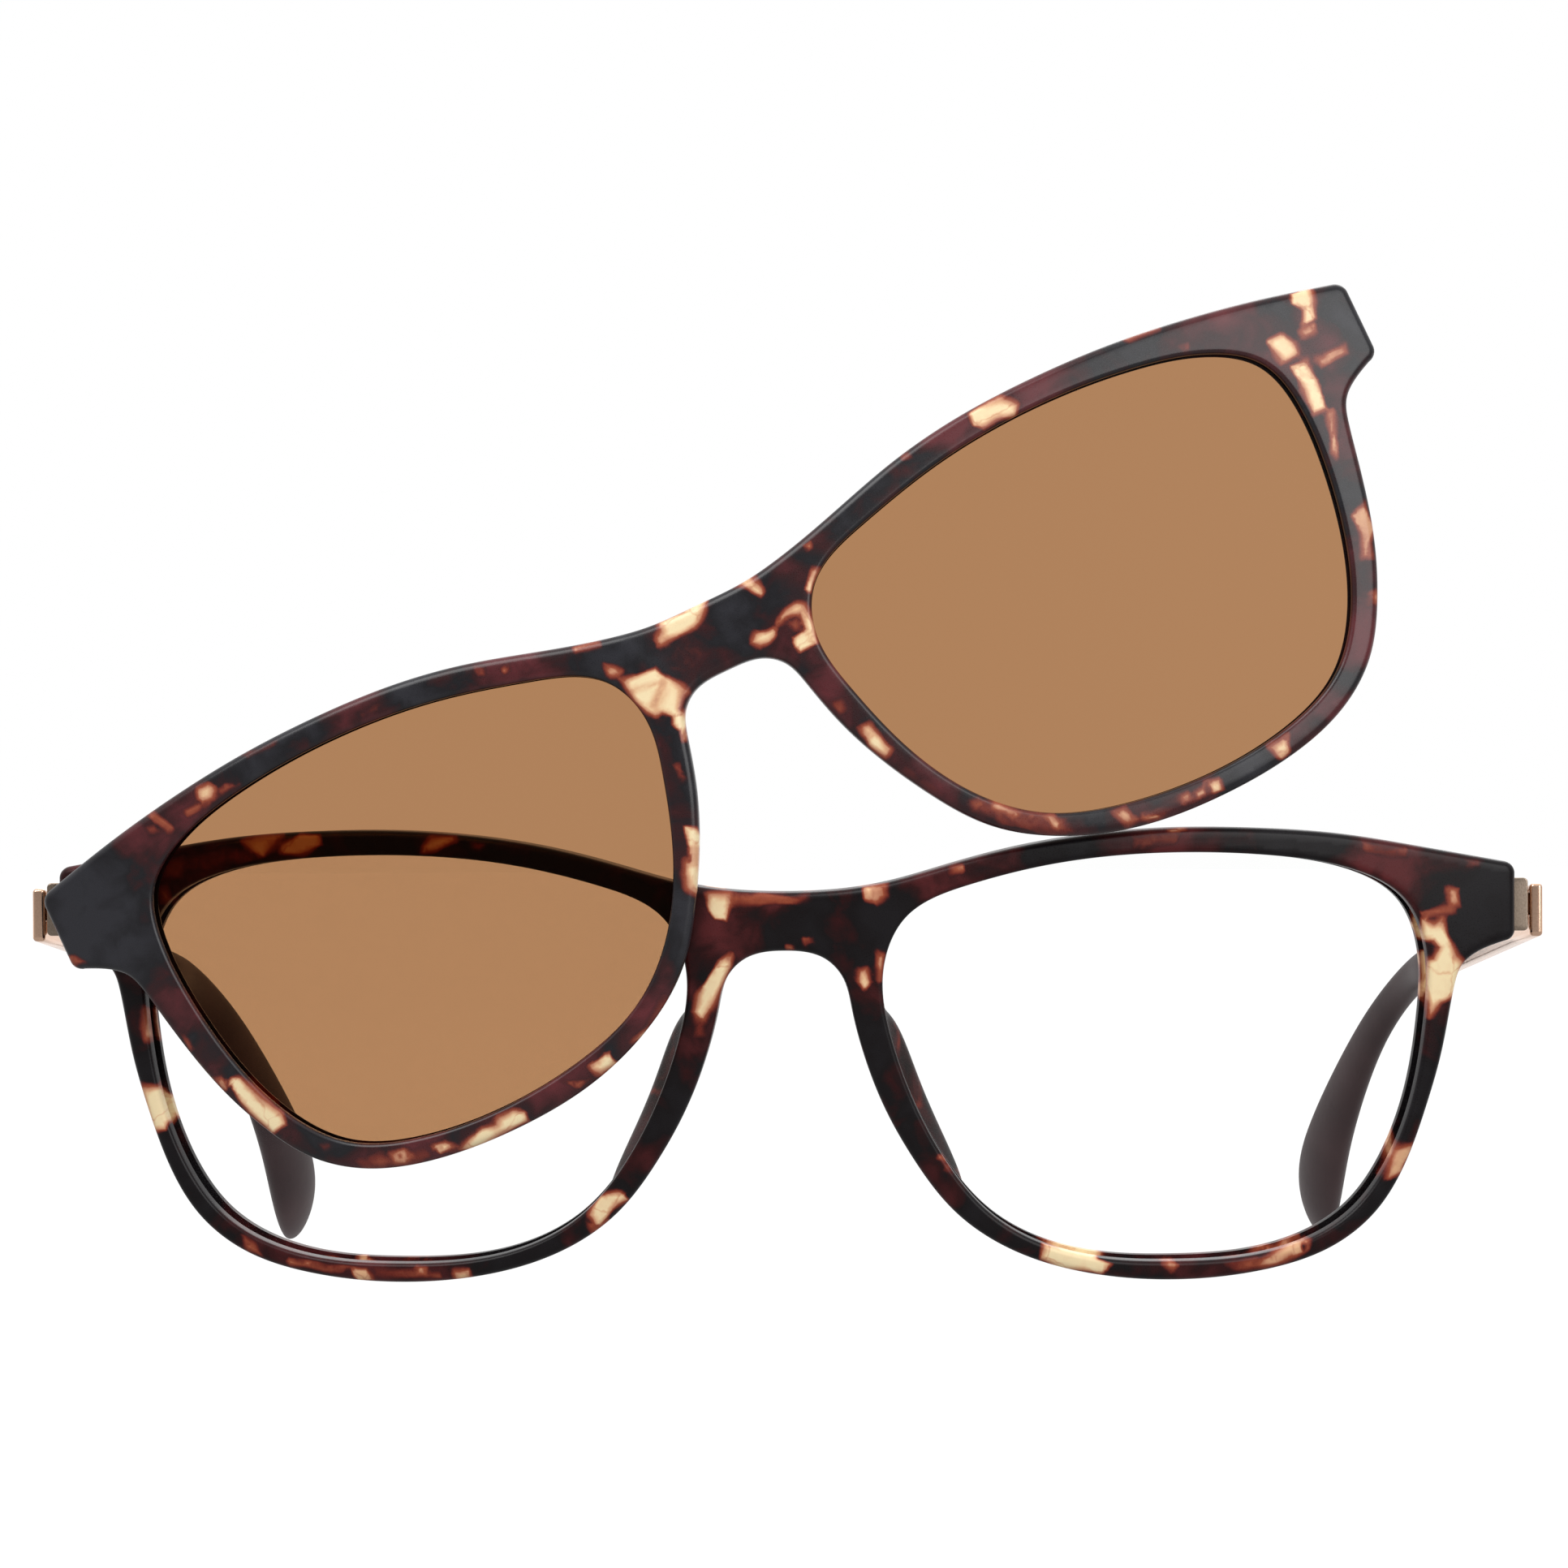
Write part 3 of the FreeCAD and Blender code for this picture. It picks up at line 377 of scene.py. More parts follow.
def inside(points, loops):
    """Whether each point is inside an odd number of the loops."""
    odd = np.zeros(len(points), bool)
    for loop in loops:
        a, b = loop, np.roll(loop, -1, 0)
        for i in range(len(a)):
            spans = (a[i, 1] > points[:, 1]) != (b[i, 1] > points[:, 1])
            if spans.any():
                cross = a[i, 0] + (points[:, 1] - a[i, 1]) * (b[i, 0] - a[i, 0]) / (
                    b[i, 1] - a[i, 1] if b[i, 1] != a[i, 1] else 1.0)
                odd ^= spans & (points[:, 0] < cross)
    return odd


def crease_u(v):
    share = (v - SCOOP_NOSE[1]) / (SCOOP_TOP[1] - SCOOP_NOSE[1])
    return SCOOP_NOSE[0] + share * (SCOOP_TOP[0] - SCOOP_NOSE[0])


def scoop(points):
    """How deep the bridge is scooped out at each point of the face."""
    across = np.abs(points[:, 0]) / crease_u(points[:, 1])
    return SCOOP_DEEP * np.clip(1 - across**2, 0, None) * (points[:, 1] > 0)


def filled(loops, creased):
    """Triangles between an outer loop and the holes in it: (all points, triangles)."""
    rim = np.vstack(loops)
    low, high = rim.min(0), rim.max(0)
    rows = []
    for k, v in enumerate(np.arange(low[1], high[1], SAMPLE * ROW_STEP)):
        u = np.arange(low[0] + (k % 2) * SAMPLE / 2, high[0], SAMPLE)
        rows.append(np.stack([u, np.full(len(u), v)], 1))
    grid = np.vstack(rows)
    lines = []
    if creased:
        v = np.arange(SCOOP_NOSE[1] - 4, SCOOP_TOP[1] + 2, SAMPLE * 0.8)
        lines = [np.stack([side * crease_u(v), v], 1) for side in (-1, 1)]
    grid = grid[inside(grid, loops)]
    lines = [line[inside(line, loops)] for line in lines]

    def clear_of(points, others, room):
        near = np.full(len(points), 1e9)
        for first in range(0, len(others), 500):
            gaps = points[:, None] - others[None, first:first + 500]
            near = np.minimum(near, np.sqrt((gaps**2).sum(2)).min(1))
        return points[near > room]

    lines = [clear_of(line, rim, SAMPLE * 0.5) for line in lines]
    grid = clear_of(grid, np.vstack([rim] + lines), SAMPLE * 0.62)
    points = np.vstack([rim] + lines + [grid])
    edges, first = [], 0
    for loop in loops:
        count = len(loop)
        edges += [(first + i, first + (i + 1) % count) for i in range(count)]
        first += count
    for line in lines:
        edges += [(first + i, first + i + 1) for i in range(len(line) - 1)]
        first += len(line)
    made, _, faces, origin, _, _ = geometry.delaunay_2d_cdt(
        [Vector(p) for p in points], edges, [], 0, 1e-6)
    index = [ids[0] if ids else -1 for ids in origin]
    triangles = np.array([[index[i] for i in face] for face in faces if len(face) == 3])
    triangles = triangles[(triangles >= 0).all(1)]
    keep = inside(points[triangles].mean(1), loops)
    return points, triangles[keep]


# ---- from the flat face to the row frame ----
CENTRE = Vector((0.0, FACE_RADIUS, 0.0))


def ray(u, v):
    return Vector((u, -math.sqrt(FACE_RADIUS**2 - u * u - v * v), v)) / FACE_RADIUS


STAND = Matrix.Scale(MM, 4) @ Matrix.Translation(APEX) @ Matrix.Rotation(FRONT_TILT, 4, "X")
SWING = (STAND @ Matrix.Translation(CENTRE)
         @ Matrix.Rotation(CLIP_SWING, 4, ray(-MAGNET_U, MAGNET_V)) @ Matrix.Translation(-CENTRE))


def curved(points, depth):
    """Places on the sphere for face points at a depth, before standing."""
    u, v = points[:, 0], points[:, 1]
    unit = np.stack([u, -np.sqrt(FACE_RADIUS**2 - u * u - v * v), v], 1) / FACE_RADIUS
    return np.array(CENTRE) + unit * (FACE_RADIUS - depth)[:, None]


def shown(name, mesh, body, replaced):
    obj = bpy.data.objects.new(name, mesh)
    bpy.context.scene.collection.objects.link(obj)
    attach(obj, body)
    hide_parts(*replaced)
    return obj


def wall_profile(front_edge, back_edge, front, back, groove=None):
    """Rings from the front face round the edge to the back face, as (inset, depth, share of scoop)."""
    turn = np.linspace(0, math.pi / 2, EDGE_STEPS + 1)
    rings = [(front_edge * (1 - math.sin(a)), front + front_edge * (1 - math.cos(a)), 1.0) for a in turn]
    if groove:
        near, far, reach = groove
        rings += [(0.0, near, 0.0), (reach, near, 0.0), (reach, far, 0.0), (0.0, far, 0.0)]
    rings += [(back_edge * (1 - math.cos(a)), back - back_edge * (1 - math.sin(a)), 0.0) for a in turn]
    return rings


def front_piece(outer, opening, front, back, groove, place):
    """Closed mesh of a plastic front with rounded edges and lens grooves."""
    other = (opening * [-1, 1])[::-1]
    grooved = wall_profile(EDGE_FRONT * OPENING_EDGE, EDGE_BACK, front, back, groove)
    loops = [(outer, inward(outer), wall_profile(EDGE_FRONT, EDGE_BACK, front, back)),
             (opening, -inward(opening), grooved), (other, -inward(other), grooved)]
    points, depths, faces, ends = [], [], [], ([], [])
    total = 0
    for loop, into, profile in loops:
        count = len(loop)
        for k, (inset, depth, share) in enumerate(profile):
            ring = loop + into * inset
            points.append(ring)
            depths.append(np.full(count, depth) + share * scoop(ring))
            if k:
                a = total + (k - 1) * count
                step = np.arange(count)
                following = (step + 1) % count
                quads = [a + step, a + following, a + count + following, a + count + step]
                faces += np.stack(quads, 1).tolist()
        ends[0].append(total)
        total += count * len(profile)
        ends[1].append(total - count)
    for side, starts in enumerate(ends):
        rims = [(loop + into * profile[-side][0]) for loop, into, profile in loops]
        flat, triangles = filled(rims, creased=side == 0)
        rim_index = np.concatenate([start + np.arange(len(rim)) for start, rim in zip(starts, rims)])
        extra = flat[len(rim_index):]
        index = np.concatenate([rim_index, total + np.arange(len(extra))])
        points.append(extra)
        depths.append(front + scoop(extra) if side == 0 else np.full(len(extra), back))
        total += len(extra)
        faces += index[triangles].tolist()
    spots = curved(np.vstack(points), np.concatenate(depths))
    mesh = bpy.data.meshes.new("front")
    mesh.from_pydata([place @ Vector(p) for p in spots], [], faces)
    work = bmesh.new()
    work.from_mesh(mesh)
    bmesh.ops.recalc_face_normals(work, faces=work.faces)
    work.to_mesh(mesh)
    work.free()
    return mesh


def cut_out(mesh, cutters):
    """The mesh with the cutters' space taken away."""
    body = bpy.data.objects.new("blank", mesh)
    bpy.context.scene.collection.objects.link(body)
    tools = []
    for cutter in cutters:
        tool = bpy.data.objects.new("cutter", cutter)
        bpy.context.scene.collection.objects.link(tool)
        tools.append(tool)
        cut = body.modifiers.new("cut", "BOOLEAN")
        cut.operation, cut.object, cut.solver = "DIFFERENCE", tool, "EXACT"
    made = bpy.data.meshes.new_from_object(body.evaluated_get(bpy.context.evaluated_depsgraph_get()))
    for obj in [body] + tools:
        bpy.data.objects.remove(obj)
    return made


def drum(u, v, radius, outer_depth, inner_depth, place, count=48):
    """Radial cylinder between two depths, for cutting."""
    work = bmesh.new()
    direction = ray(u, v)
    middle = CENTRE + direction * (FACE_RADIUS - (outer_depth + inner_depth) / 2)
    turn = direction.to_track_quat("Z", "Y").to_matrix().to_4x4()
    bmesh.ops.create_cone(work, cap_ends=True, segments=count, radius1=radius, radius2=radius,
                          depth=abs(inner_depth - outer_depth),
                          matrix=place @ Matrix.Translation(middle) @ turn)
    mesh = bpy.data.meshes.new("drum")
    work.to_mesh(mesh)
    work.free()
    return mesh


def block(low, high):
    work = bmesh.new()
    middle = (Vector(low) + Vector(high)) / 2
    size = Vector(high) - Vector(low)
    bmesh.ops.create_cube(work, size=1.0, matrix=Matrix.Translation(middle) @ Matrix.Diagonal(size.to_4d()))
    mesh = bpy.data.meshes.new("block")
    work.to_mesh(mesh)
    work.free()
    return mesh


def edge_distance(points, loop):
    """How far each point lies inside the loop; negative outside."""
    start, end = loop, np.roll(loop, -1, 0)
    along = end - start
    offset = points[:, None] - start[None]
    share = np.clip((offset * along).sum(2) / (along**2).sum(1), 0, 1)
    gap = np.sqrt(((offset - share[..., None] * along)**2).sum(2)).min(1)
    return np.where(inside(points, [loop]), gap, -gap)


def flake_field(face, flakes):
    """How light the plastic is at each face point, from 0 to about 1."""
    waves = np.array([noise.noise_vector(Vector((u, v, d)) * WARP_SCALE)
                      for u, v, d in face])
    deep = (face[:, 2] - face[:, 2].min())[:, None]
    spots = face[:, :2] + (WARP_REACH + SLANT * deep) * waves[:, :2]
    soft = FADE * np.clip(1 + FADE_SPREAD * waves[:, 2], FADE_LEAST, FADE_MOST)
    light = np.zeros(len(spots))
    for lightness, outline in flakes:
        loop = np.array(outline)
        low, high = loop.min(0) - FADE_MOST * FADE, loop.max(0) + FADE_MOST * FADE
        near = np.flatnonzero(((spots > low) & (spots < high)).all(1))
        if not len(near):
            continue
        cover = np.clip(0.5 + edge_distance(spots[near], loop) / (2 * soft[near]), 0, 1)
        if lightness > 0:
            light[near] = np.maximum(light[near], lightness * cover)
        else:
            light[near] = np.minimum(light[near], 1 + lightness * cover)
    return light


def cloud_field(face, clouds):
    """How warm the dark plastic is at each face point; the coldest places take the painted slate sheen."""
    warm = np.zeros(len(face))
    for u, v, reach, warmth_and_sheen in clouds:
        warm += warmth_and_sheen * np.exp(-((face[:, 0] - u)**2 + (face[:, 1] - v)**2) / reach**2)
    return warm


def mark_plastic(mesh, place, flakes, clouds):
    """Store each vertex's face coordinates, lightness, warmth and how edge-on it is, for the plastic's
    pattern and its painted sheen.
    """
    co = np.array([v.co for v in mesh.vertices], float)
    back = np.array(place.inverted())
    local = co @ back[:3, :3].T + back[:3, 3] - np.array(CENTRE)
    reach = np.linalg.norm(local, axis=1)
    face = np.stack([FACE_RADIUS * local[:, 0] / reach, FACE_RADIUS * local[:, 2] / reach,
                     FACE_RADIUS - reach], 1)
    spots = mesh.attributes.new("face_mm", "FLOAT_VECTOR", "POINT")
    spots.data.foreach_set("vector", face.astype(np.float32).ravel())
    normals = np.array([v.normal for v in mesh.vertices], float) @ np.linalg.inv(back[:3, :3])
    normals /= np.linalg.norm(normals, axis=1)[:, None]
    # How edge-on each vertex is, 0 on the faces and 1 on the walls; it places the painted edge sheen.
    edge = 1 - np.abs((normals * local).sum(1) / reach)
    for name, field in (("flake", flake_field(face, flakes)), ("warmth_and_sheen", cloud_field(face, clouds)),
                        ("edge", edge)):
        mesh.attributes.new(name, "FLOAT", "POINT").data.foreach_set("value", field.astype(np.float32))


def finished(mesh, angle=32):
    mesh.shade_smooth()
    mesh.set_sharp_from_angle(angle=math.radians(angle))
    return mesh


# ---- materials ----
def material(name):
    made = bpy.data.materials.new(name)
    made.use_nodes = True
    made.node_tree.nodes.clear()
    return made, made.node_tree.nodes, made.node_tree.links


def node(nodes_, kind, **inputs):
    made = nodes_.new(kind)
    for key, value in inputs.items():
        made.inputs[key.replace("_", " ")].default_value = value
    return made


def ramp(nodes_, links, level, stops):
    """Colour of a level along the given stops."""
    made = nodes_.new("ShaderNodeValToRGB")
    line = made.color_ramp.elements
    while len(line) < len(stops):
        line.new(0.5)
    for item, (at, colour) in zip(line, stops):
        item.position = at
        item.color = (*colour, 1.0)
    links.new(level, made.inputs["Fac"])
    return made.outputs["Color"]


def maths(nodes_, links, operation, a, b=None, c=None, clamp=False):
    made = nodes_.new("ShaderNodeMath")
    made.operation = operation
    made.use_clamp = clamp
    for socket, value in zip(made.inputs, (a, b, c)):
        if value is None:
            continue
        if isinstance(value, (int, float)):
            socket.default_value = value
        else:
            links.new(value, socket)
    return made.outputs[0]


def noisy(nodes_, links, place, scale, detail=3.0, roughness=0.5, distortion=0.0):
    made = node(nodes_, "ShaderNodeTexNoise", Scale=scale, Detail=detail, Roughness=roughness,
                Distortion=distortion)
    links.new(place, made.inputs["Vector"])
    return made.outputs["Fac"]


def in_millimetres(nodes_, links):
    """Object coordinates in millimetres."""
    coords = nodes_.new("ShaderNodeTexCoord")
    grow = node(nodes_, "ShaderNodeMapping", Scale=(1 / MM, 1 / MM, 1 / MM))
    links.new(coords.outputs["Object"], grow.inputs["Vector"])
    return grow.outputs["Vector"]


def attribute(nodes_, name, output="Fac"):
    made = nodes_.new("ShaderNodeAttribute")
    made.attribute_name = name
    return made.outputs[output]


def surface(nodes_, links, colour, rough, height=None, bump=0.00001, **inputs):
    """A Principled surface, with optional fine bump."""
    shader = node(nodes_, "ShaderNodeBsdfPrincipled", **inputs)
    links.new(colour, shader.inputs["Base Color"])
    links.new(rough, shader.inputs["Roughness"])
    if height is not None:
        raised = node(nodes_, "ShaderNodeBump", Strength=0.3, Distance=bump)
        links.new(height, raised.inputs["Height"])
        links.new(raised.outputs["Normal"], shader.inputs["Normal"])
    out = nodes_.new("ShaderNodeOutputMaterial")
    links.new(shader.outputs["BSDF"], out.inputs["Surface"])


OXBLOOD, RED_BROWN, ORANGE = (0.027, 0.0048, 0.0062), (0.140, 0.019, 0.012), (0.31, 0.070, 0.033)
PEACH, AMBER = (0.56, 0.26, 0.15), (0.72, 0.42, 0.235)
BUFF, CREAM = (0.83, 0.59, 0.345), (0.89, 0.72, 0.44)
PAINTED_EDGE_SHEEN = (0.0115, 0.0110, 0.0120)     # painted sheen: colour added on the rounded edges and walls in place of their reflection


CLOUD_SCALE, CLOUD_REACH = 0.26, 1.5     # of the plastic's own mottle
PLACED_REACH = 0.34                      # how much the listed clouds count
WARMEST = 3.6                            # how much brighter the warmest clouds are than warm ones
SPECK_SCALE, SPECK_REACH, SPECK_SHARE = 0.22, 3.0, 0.5   # flakes of a piece with none laid out
WANDER_SCALE, WANDER_REACH = 0.75, 0.22  # how much a flake's lightness changes across it
VEIN_SCALE, VEIN_WIDTH, VEIN_DARK = 0.42, 0.03, 0.16     # dark hairlines in the light flakes
VEIN_BEND = 0.55
POLISH_GRAIN, POLISH_ROUGH, POLISH_SPREAD = 7.0, 0.22, 0.14
POLISH_BUMP = 0.000002                   # metres


def tortoise(name, marked, slate_sheen, cold, warm, sheen):
    """Layered plastic: dark drops, warm clouds and light flakes in it, satin polished, with painted sheen:
    slate in the coldest clouds and a lighter tone on the edges.
    """
    made, n, links = material(name)
    if marked:
        place = attribute(n, "face_mm", "Vector")
        warmth_and_sheen = maths(n, links, "MULTIPLY_ADD", attribute(n, "warmth_and_sheen"), PLACED_REACH, 0.5)
        flake = attribute(n, "flake")
    else:
        place = in_millimetres(n, links)
        warmth_and_sheen = 0.5
        flake = noisy(n, links, place, SPECK_SCALE, detail=2.0, roughness=0.5, distortion=0.8)
        flake = maths(n, links, "MULTIPLY_ADD", flake, SPECK_REACH, -0.45 * SPECK_REACH, clamp=True)
        flake = maths(n, links, "MULTIPLY", flake, SPECK_SHARE)
    clouds = noisy(n, links, place, CLOUD_SCALE, detail=4.0, roughness=0.5, distortion=0.4)
    clouds = maths(n, links, "MULTIPLY_ADD", clouds, CLOUD_REACH, -0.5 * CLOUD_REACH)
    deep = tuple(0.5 * (a + b) for a, b in zip(cold, warm))
    warmest = tuple(WARMEST * c for c in warm)
    # The lowest stop is painted slate sheen, the broad reflection on the fronts' coldest ends.
    base = ramp(n, links, maths(n, links, "ADD", warmth_and_sheen, clouds, clamp=True),
                [(0.04, slate_sheen), (0.34, cold), (0.44, deep), (0.54, warm), (0.90, warmest)])
    wander = noisy(n, links, place, WANDER_SCALE, detail=3.0, roughness=0.5, distortion=0.6)
    level = maths(n, links, "MULTIPLY_ADD", wander, WANDER_REACH, -0.5 * WANDER_REACH)
    level = maths(n, links, "ADD", flake, level)
    veins = node(n, "ShaderNodeTexVoronoi", Scale=VEIN_SCALE)
    veins.feature = "DISTANCE_TO_EDGE"
    bent = node(n, "ShaderNodeTexNoise", Scale=0.7, Detail=2.0)
    links.new(place, bent.inputs["Vector"])
    mix = n.new("ShaderNodeMix")
    mix.data_type = "VECTOR"
    mix.inputs["Factor"].default_value = VEIN_BEND
    links.new(place, mix.inputs[4])
    links.new(bent.outputs["Color"], mix.inputs[5])
    links.new(mix.outputs[1], veins.inputs["Vector"])
    vein = maths(n, links, "DIVIDE", veins.outputs["Distance"], VEIN_WIDTH, clamp=True)
    vein = maths(n, links, "SUBTRACT", 1.0, vein)
    light_only = maths(n, links, "MULTIPLY_ADD", level, 5.0, -3.0, clamp=True)
    vein = maths(n, links, "MULTIPLY", vein, light_only)
    level = maths(n, links, "MULTIPLY_ADD", vein, -VEIN_DARK, level)
    flakes = ramp(n, links, level, [(0.18, OXBLOOD), (0.32, RED_BROWN), (0.50, ORANGE), (0.62, PEACH),
                                    (0.76, AMBER), (0.88, BUFF), (1.00, CREAM)])
    cover = ramp(n, links, level, [(0.10, (0, 0, 0)), (0.32, (1, 1, 1))])
    colour = n.new("ShaderNodeMix")
    colour.data_type = "RGBA"
    links.new(cover, colour.inputs["Factor"])
    links.new(base, colour.inputs[6])
    links.new(flakes, colour.inputs[7])
    grain = noisy(n, links, place, POLISH_GRAIN, detail=2.0, roughness=0.6)
    rough = maths(n, links, "MULTIPLY_ADD", grain, POLISH_SPREAD, POLISH_ROUGH)
    tone = colour.outputs[2]
    # Painted sheen: the base colour is lifted on rounded edges and walls, standing in for their reflection.
    if marked:
        eased = n.new("ShaderNodeMix")
        eased.data_type, eased.blend_type = "RGBA", "ADD"
        eased.inputs[7].default_value = (*PAINTED_EDGE_SHEEN, 1.0)
        links.new(attribute(n, "edge"), eased.inputs["Factor"])
        links.new(tone, eased.inputs[6])
        tone = eased.outputs[2]
    surface(n, links, tone, rough, grain, POLISH_BUMP, Specular_IOR_Level=sheen)
    return made


def glass(name, tint, gloss, rough):
    """A thin lens: tinted see-through with a faint reflection; the tint counts once per face."""
    made, n, links = material(name)
    through = node(n, "ShaderNodeBsdfTransparent", Color=(*tint, 1.0))
    shine = node(n, "ShaderNodeBsdfGlossy", Color=(1.0, 1.0, 1.0, 1.0), Roughness=rough)
    edge = node(n, "ShaderNodeFresnel", IOR=1.45)
    share = maths(n, links, "MULTIPLY", edge.outputs["Fac"], gloss)
    mix = n.new("ShaderNodeMixShader")
    links.new(share, mix.inputs["Fac"])
    links.new(through.outputs["BSDF"], mix.inputs[1])
    links.new(shine.outputs["BSDF"], mix.inputs[2])
    out = n.new("ShaderNodeOutputMaterial")
    links.new(mix.outputs["Shader"], out.inputs["Surface"])
    return made


def metal(name, colour, rough, per_mm, dark=0.7, bump=0.000004):
    """Metal with fine grain, so many grains per millimetre along each axis."""
    made, n, links = material(name)
    stretch = node(n, "ShaderNodeMapping", Scale=per_mm)
    links.new(in_millimetres(n, links), stretch.inputs["Vector"])
    grain = noisy(n, links, stretch.outputs["Vector"], 1.0, detail=4.0, roughness=0.6)
    tone = ramp(n, links, grain, [(0.3, tuple(dark * c for c in colour)), (0.7, colour)])
    dull = maths(n, links, "MULTIPLY_ADD", grain, 0.14, rough - 0.07)
    surface(n, links, tone, dull, grain, bump, Metallic=1.0)
    return made


def satin(name, dark, light):
    """Plain moulded plastic with a soft mottle."""
    made, n, links = material(name)
    place = in_millimetres(n, links)
    tone = ramp(n, links, noisy(n, links, place, 0.12, detail=4.0), [(0.35, dark), (0.7, light)])
    grain = noisy(n, links, place, 5.0, detail=2.0)
    rough = maths(n, links, "MULTIPLY_ADD", grain, 0.10, 0.42)
    surface(n, links, tone, rough, grain, 0.0000015, IOR=1.25)
    return made


def root(colour):
    return tuple(math.sqrt(c) for c in colour)


# The first colour of the frame and clip looks is painted slate sheen; the small parts' one is just their
# cold plastic.
FRAME_LOOK = tortoise("tortoise_frame", True, (0.0085, 0.0070, 0.0082), (0.0058, 0.0040, 0.0046),
                      (0.025, 0.0038, 0.0042), 0.18)
CLIP_LOOK = tortoise("tortoise_clip", True, (0.0195, 0.0192, 0.0245), (0.0070, 0.0062, 0.0086),
                     (0.029, 0.0044, 0.0056), 0.42)
PLAIN_LOOK = tortoise("tortoise_small", False, (0.0060, 0.0042, 0.0045), (0.0060, 0.0042, 0.0045),
                      (0.022, 0.0045, 0.0048), 0.05)
CLEAR = glass("clear_lens", (0.995, 0.997, 0.995), 0.06, 0.05)
BROWN = glass("sun_lens", root((0.430, 0.222, 0.105)), 0.06, 0.35)
TAUPE = metal("brushed_bracket", (0.43, 0.335, 0.26), 0.30, (9.0, 4.0, 4.0), dark=0.6)
ROSE = metal("rose_gold", (0.91, 0.59, 0.42), 0.17, (4.0, 0.5, 5.0), dark=0.88)
STEEL = metal("screw_steel", (0.62, 0.56, 0.50), 0.28, (4.0, 4.0, 4.0))
NICKEL = metal("magnet_nickel", (0.66, 0.64, 0.60), 0.20, (4.0, 4.0, 4.0), dark=0.85)
TIP = satin("tip_plastic", (0.027, 0.0130, 0.0145), (0.043, 0.0220, 0.0235))

LOOKS = {
    "front_frame": FRAME_LOOK, "clip_frame": CLIP_LOOK, "nose_pad": PLAIN_LOOK,
    "magnet_cap": PLAIN_LOOK, "lens": CLEAR, "clip_lens": BROWN, "frame_magnet": NICKEL,
    "clip_magnet": NICKEL, "hinge_bracket": TAUPE, "temple_arm": ROSE, "bracket_screws": STEEL,
    "hinge_screw": STEEL, "temple_tip": TIP,
}
for name, obj in nodes.items():
    kind = name.removesuffix("_left").removesuffix("_right")
    obj.data.materials.clear()
    obj.data.materials.append(LOOKS[kind])

# ---- the two plastic fronts ----
frame_outer = contour(FRAME_TOP, FRAME_UNDER, HALF_WIDTH, END_TOP, END_BOTTOM)
frame_opening = smooth_line(FRAME_OPENING, closed=True)
clip_outer = contour(CLIP_TOP, CLIP_UNDER, CLIP_HALF_WIDTH, CLIP_END_TOP, CLIP_END_BOTTOM)
clip_opening = smooth_line(CLIP_OPENING, closed=True)


def anticlockwise(loop):
    x, y = loop[:, 0], loop[:, 1]
    area = (x * np.roll(y, -1) - y * np.roll(x, -1)).sum()
    return loop if area > 0 else loop[::-1]


frame_mesh = front_piece(
    anticlockwise(frame_outer), anticlockwise(frame_opening), 0.0, FRAME_THICK,
    (LENS_FRONT - LENS_ROOM, LENS_FRONT + LENS_THICK + LENS_ROOM, GROOVE + LENS_ROOM), STAND)
clip_front = -CLIP_GAP - CLIP_THICK
clip_lens_front = -CLIP_GAP - CLIP_LENS_BACK - CLIP_LENS_THICK
clip_outer = anticlockwise(clip_outer)
clip_outer = clip_outer - POLISH * inward(clip_outer)
clip_mesh = front_piece(
    clip_outer, anticlockwise(clip_opening), clip_front, -CLIP_GAP,
    (clip_lens_front - LENS_ROOM, -CLIP_GAP - CLIP_LENS_BACK + LENS_ROOM, CLIP_GROOVE + LENS_ROOM),
    SWING)

cutters = []
for side in ("left", "right"):
    sign = -1 if side == "left" else 1
    cutters.append(drum(sign * MAGNET_U, MAGNET_V, MAGNET_R + FRAME_MAGNET_ROOM, FRAME_MAGNET_FROM,
                        FRAME_THICK + 1, STAND))
    low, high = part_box("hinge_bracket_" + side)
    outer_x = sign * (HALF_WIDTH + SEAT_PAST) * MM
    inner_x = low.x if sign > 0 else high.x
    seat = [sorted((inner_x, outer_x)), (low.y, high.y + SEAT_PAST * MM), (low.z, high.z)]
    cutters.append(block([s[0] for s in seat], [s[1] for s in seat]))
frame_mesh = cut_out(frame_mesh, cutters)
clip_mesh = cut_out(clip_mesh, [
    drum(sign * MAGNET_U, MAGNET_V, MAGNET_R + MAGNET_ROOM,
         -CLIP_GAP - CLIP_MAGNET_THICK - MAGNET_ROOM, 1.0, SWING)
    for sign in (-1, 1)])
mark_plastic(frame_mesh, STAND, FRAME_FLAKES, FRAME_CLOUDS_AND_SHEEN)
mark_plastic(clip_mesh, SWING, CLIP_FLAKES, CLIP_CLOUDS_AND_SHEEN)
for mesh, look in ((frame_mesh, FRAME_LOOK), (clip_mesh, CLIP_LOOK)):
    finished(mesh)
    mesh.materials.clear()
    mesh.materials.append(look)
shown("glasses_front", frame_mesh, "front", ["front_frame"])
shown("sun_clip_front", clip_mesh, "sun_clip", ["clip_frame"])


# ---- the metal fittings, with their sharp edges eased ----
PLATE_EDGE, BAR_EDGE = 0.1, 0.36     # rounding in millimetres
FRONT_END = 0.05                     # how much of a bar counts as its front end
SHARP = math.radians(50)


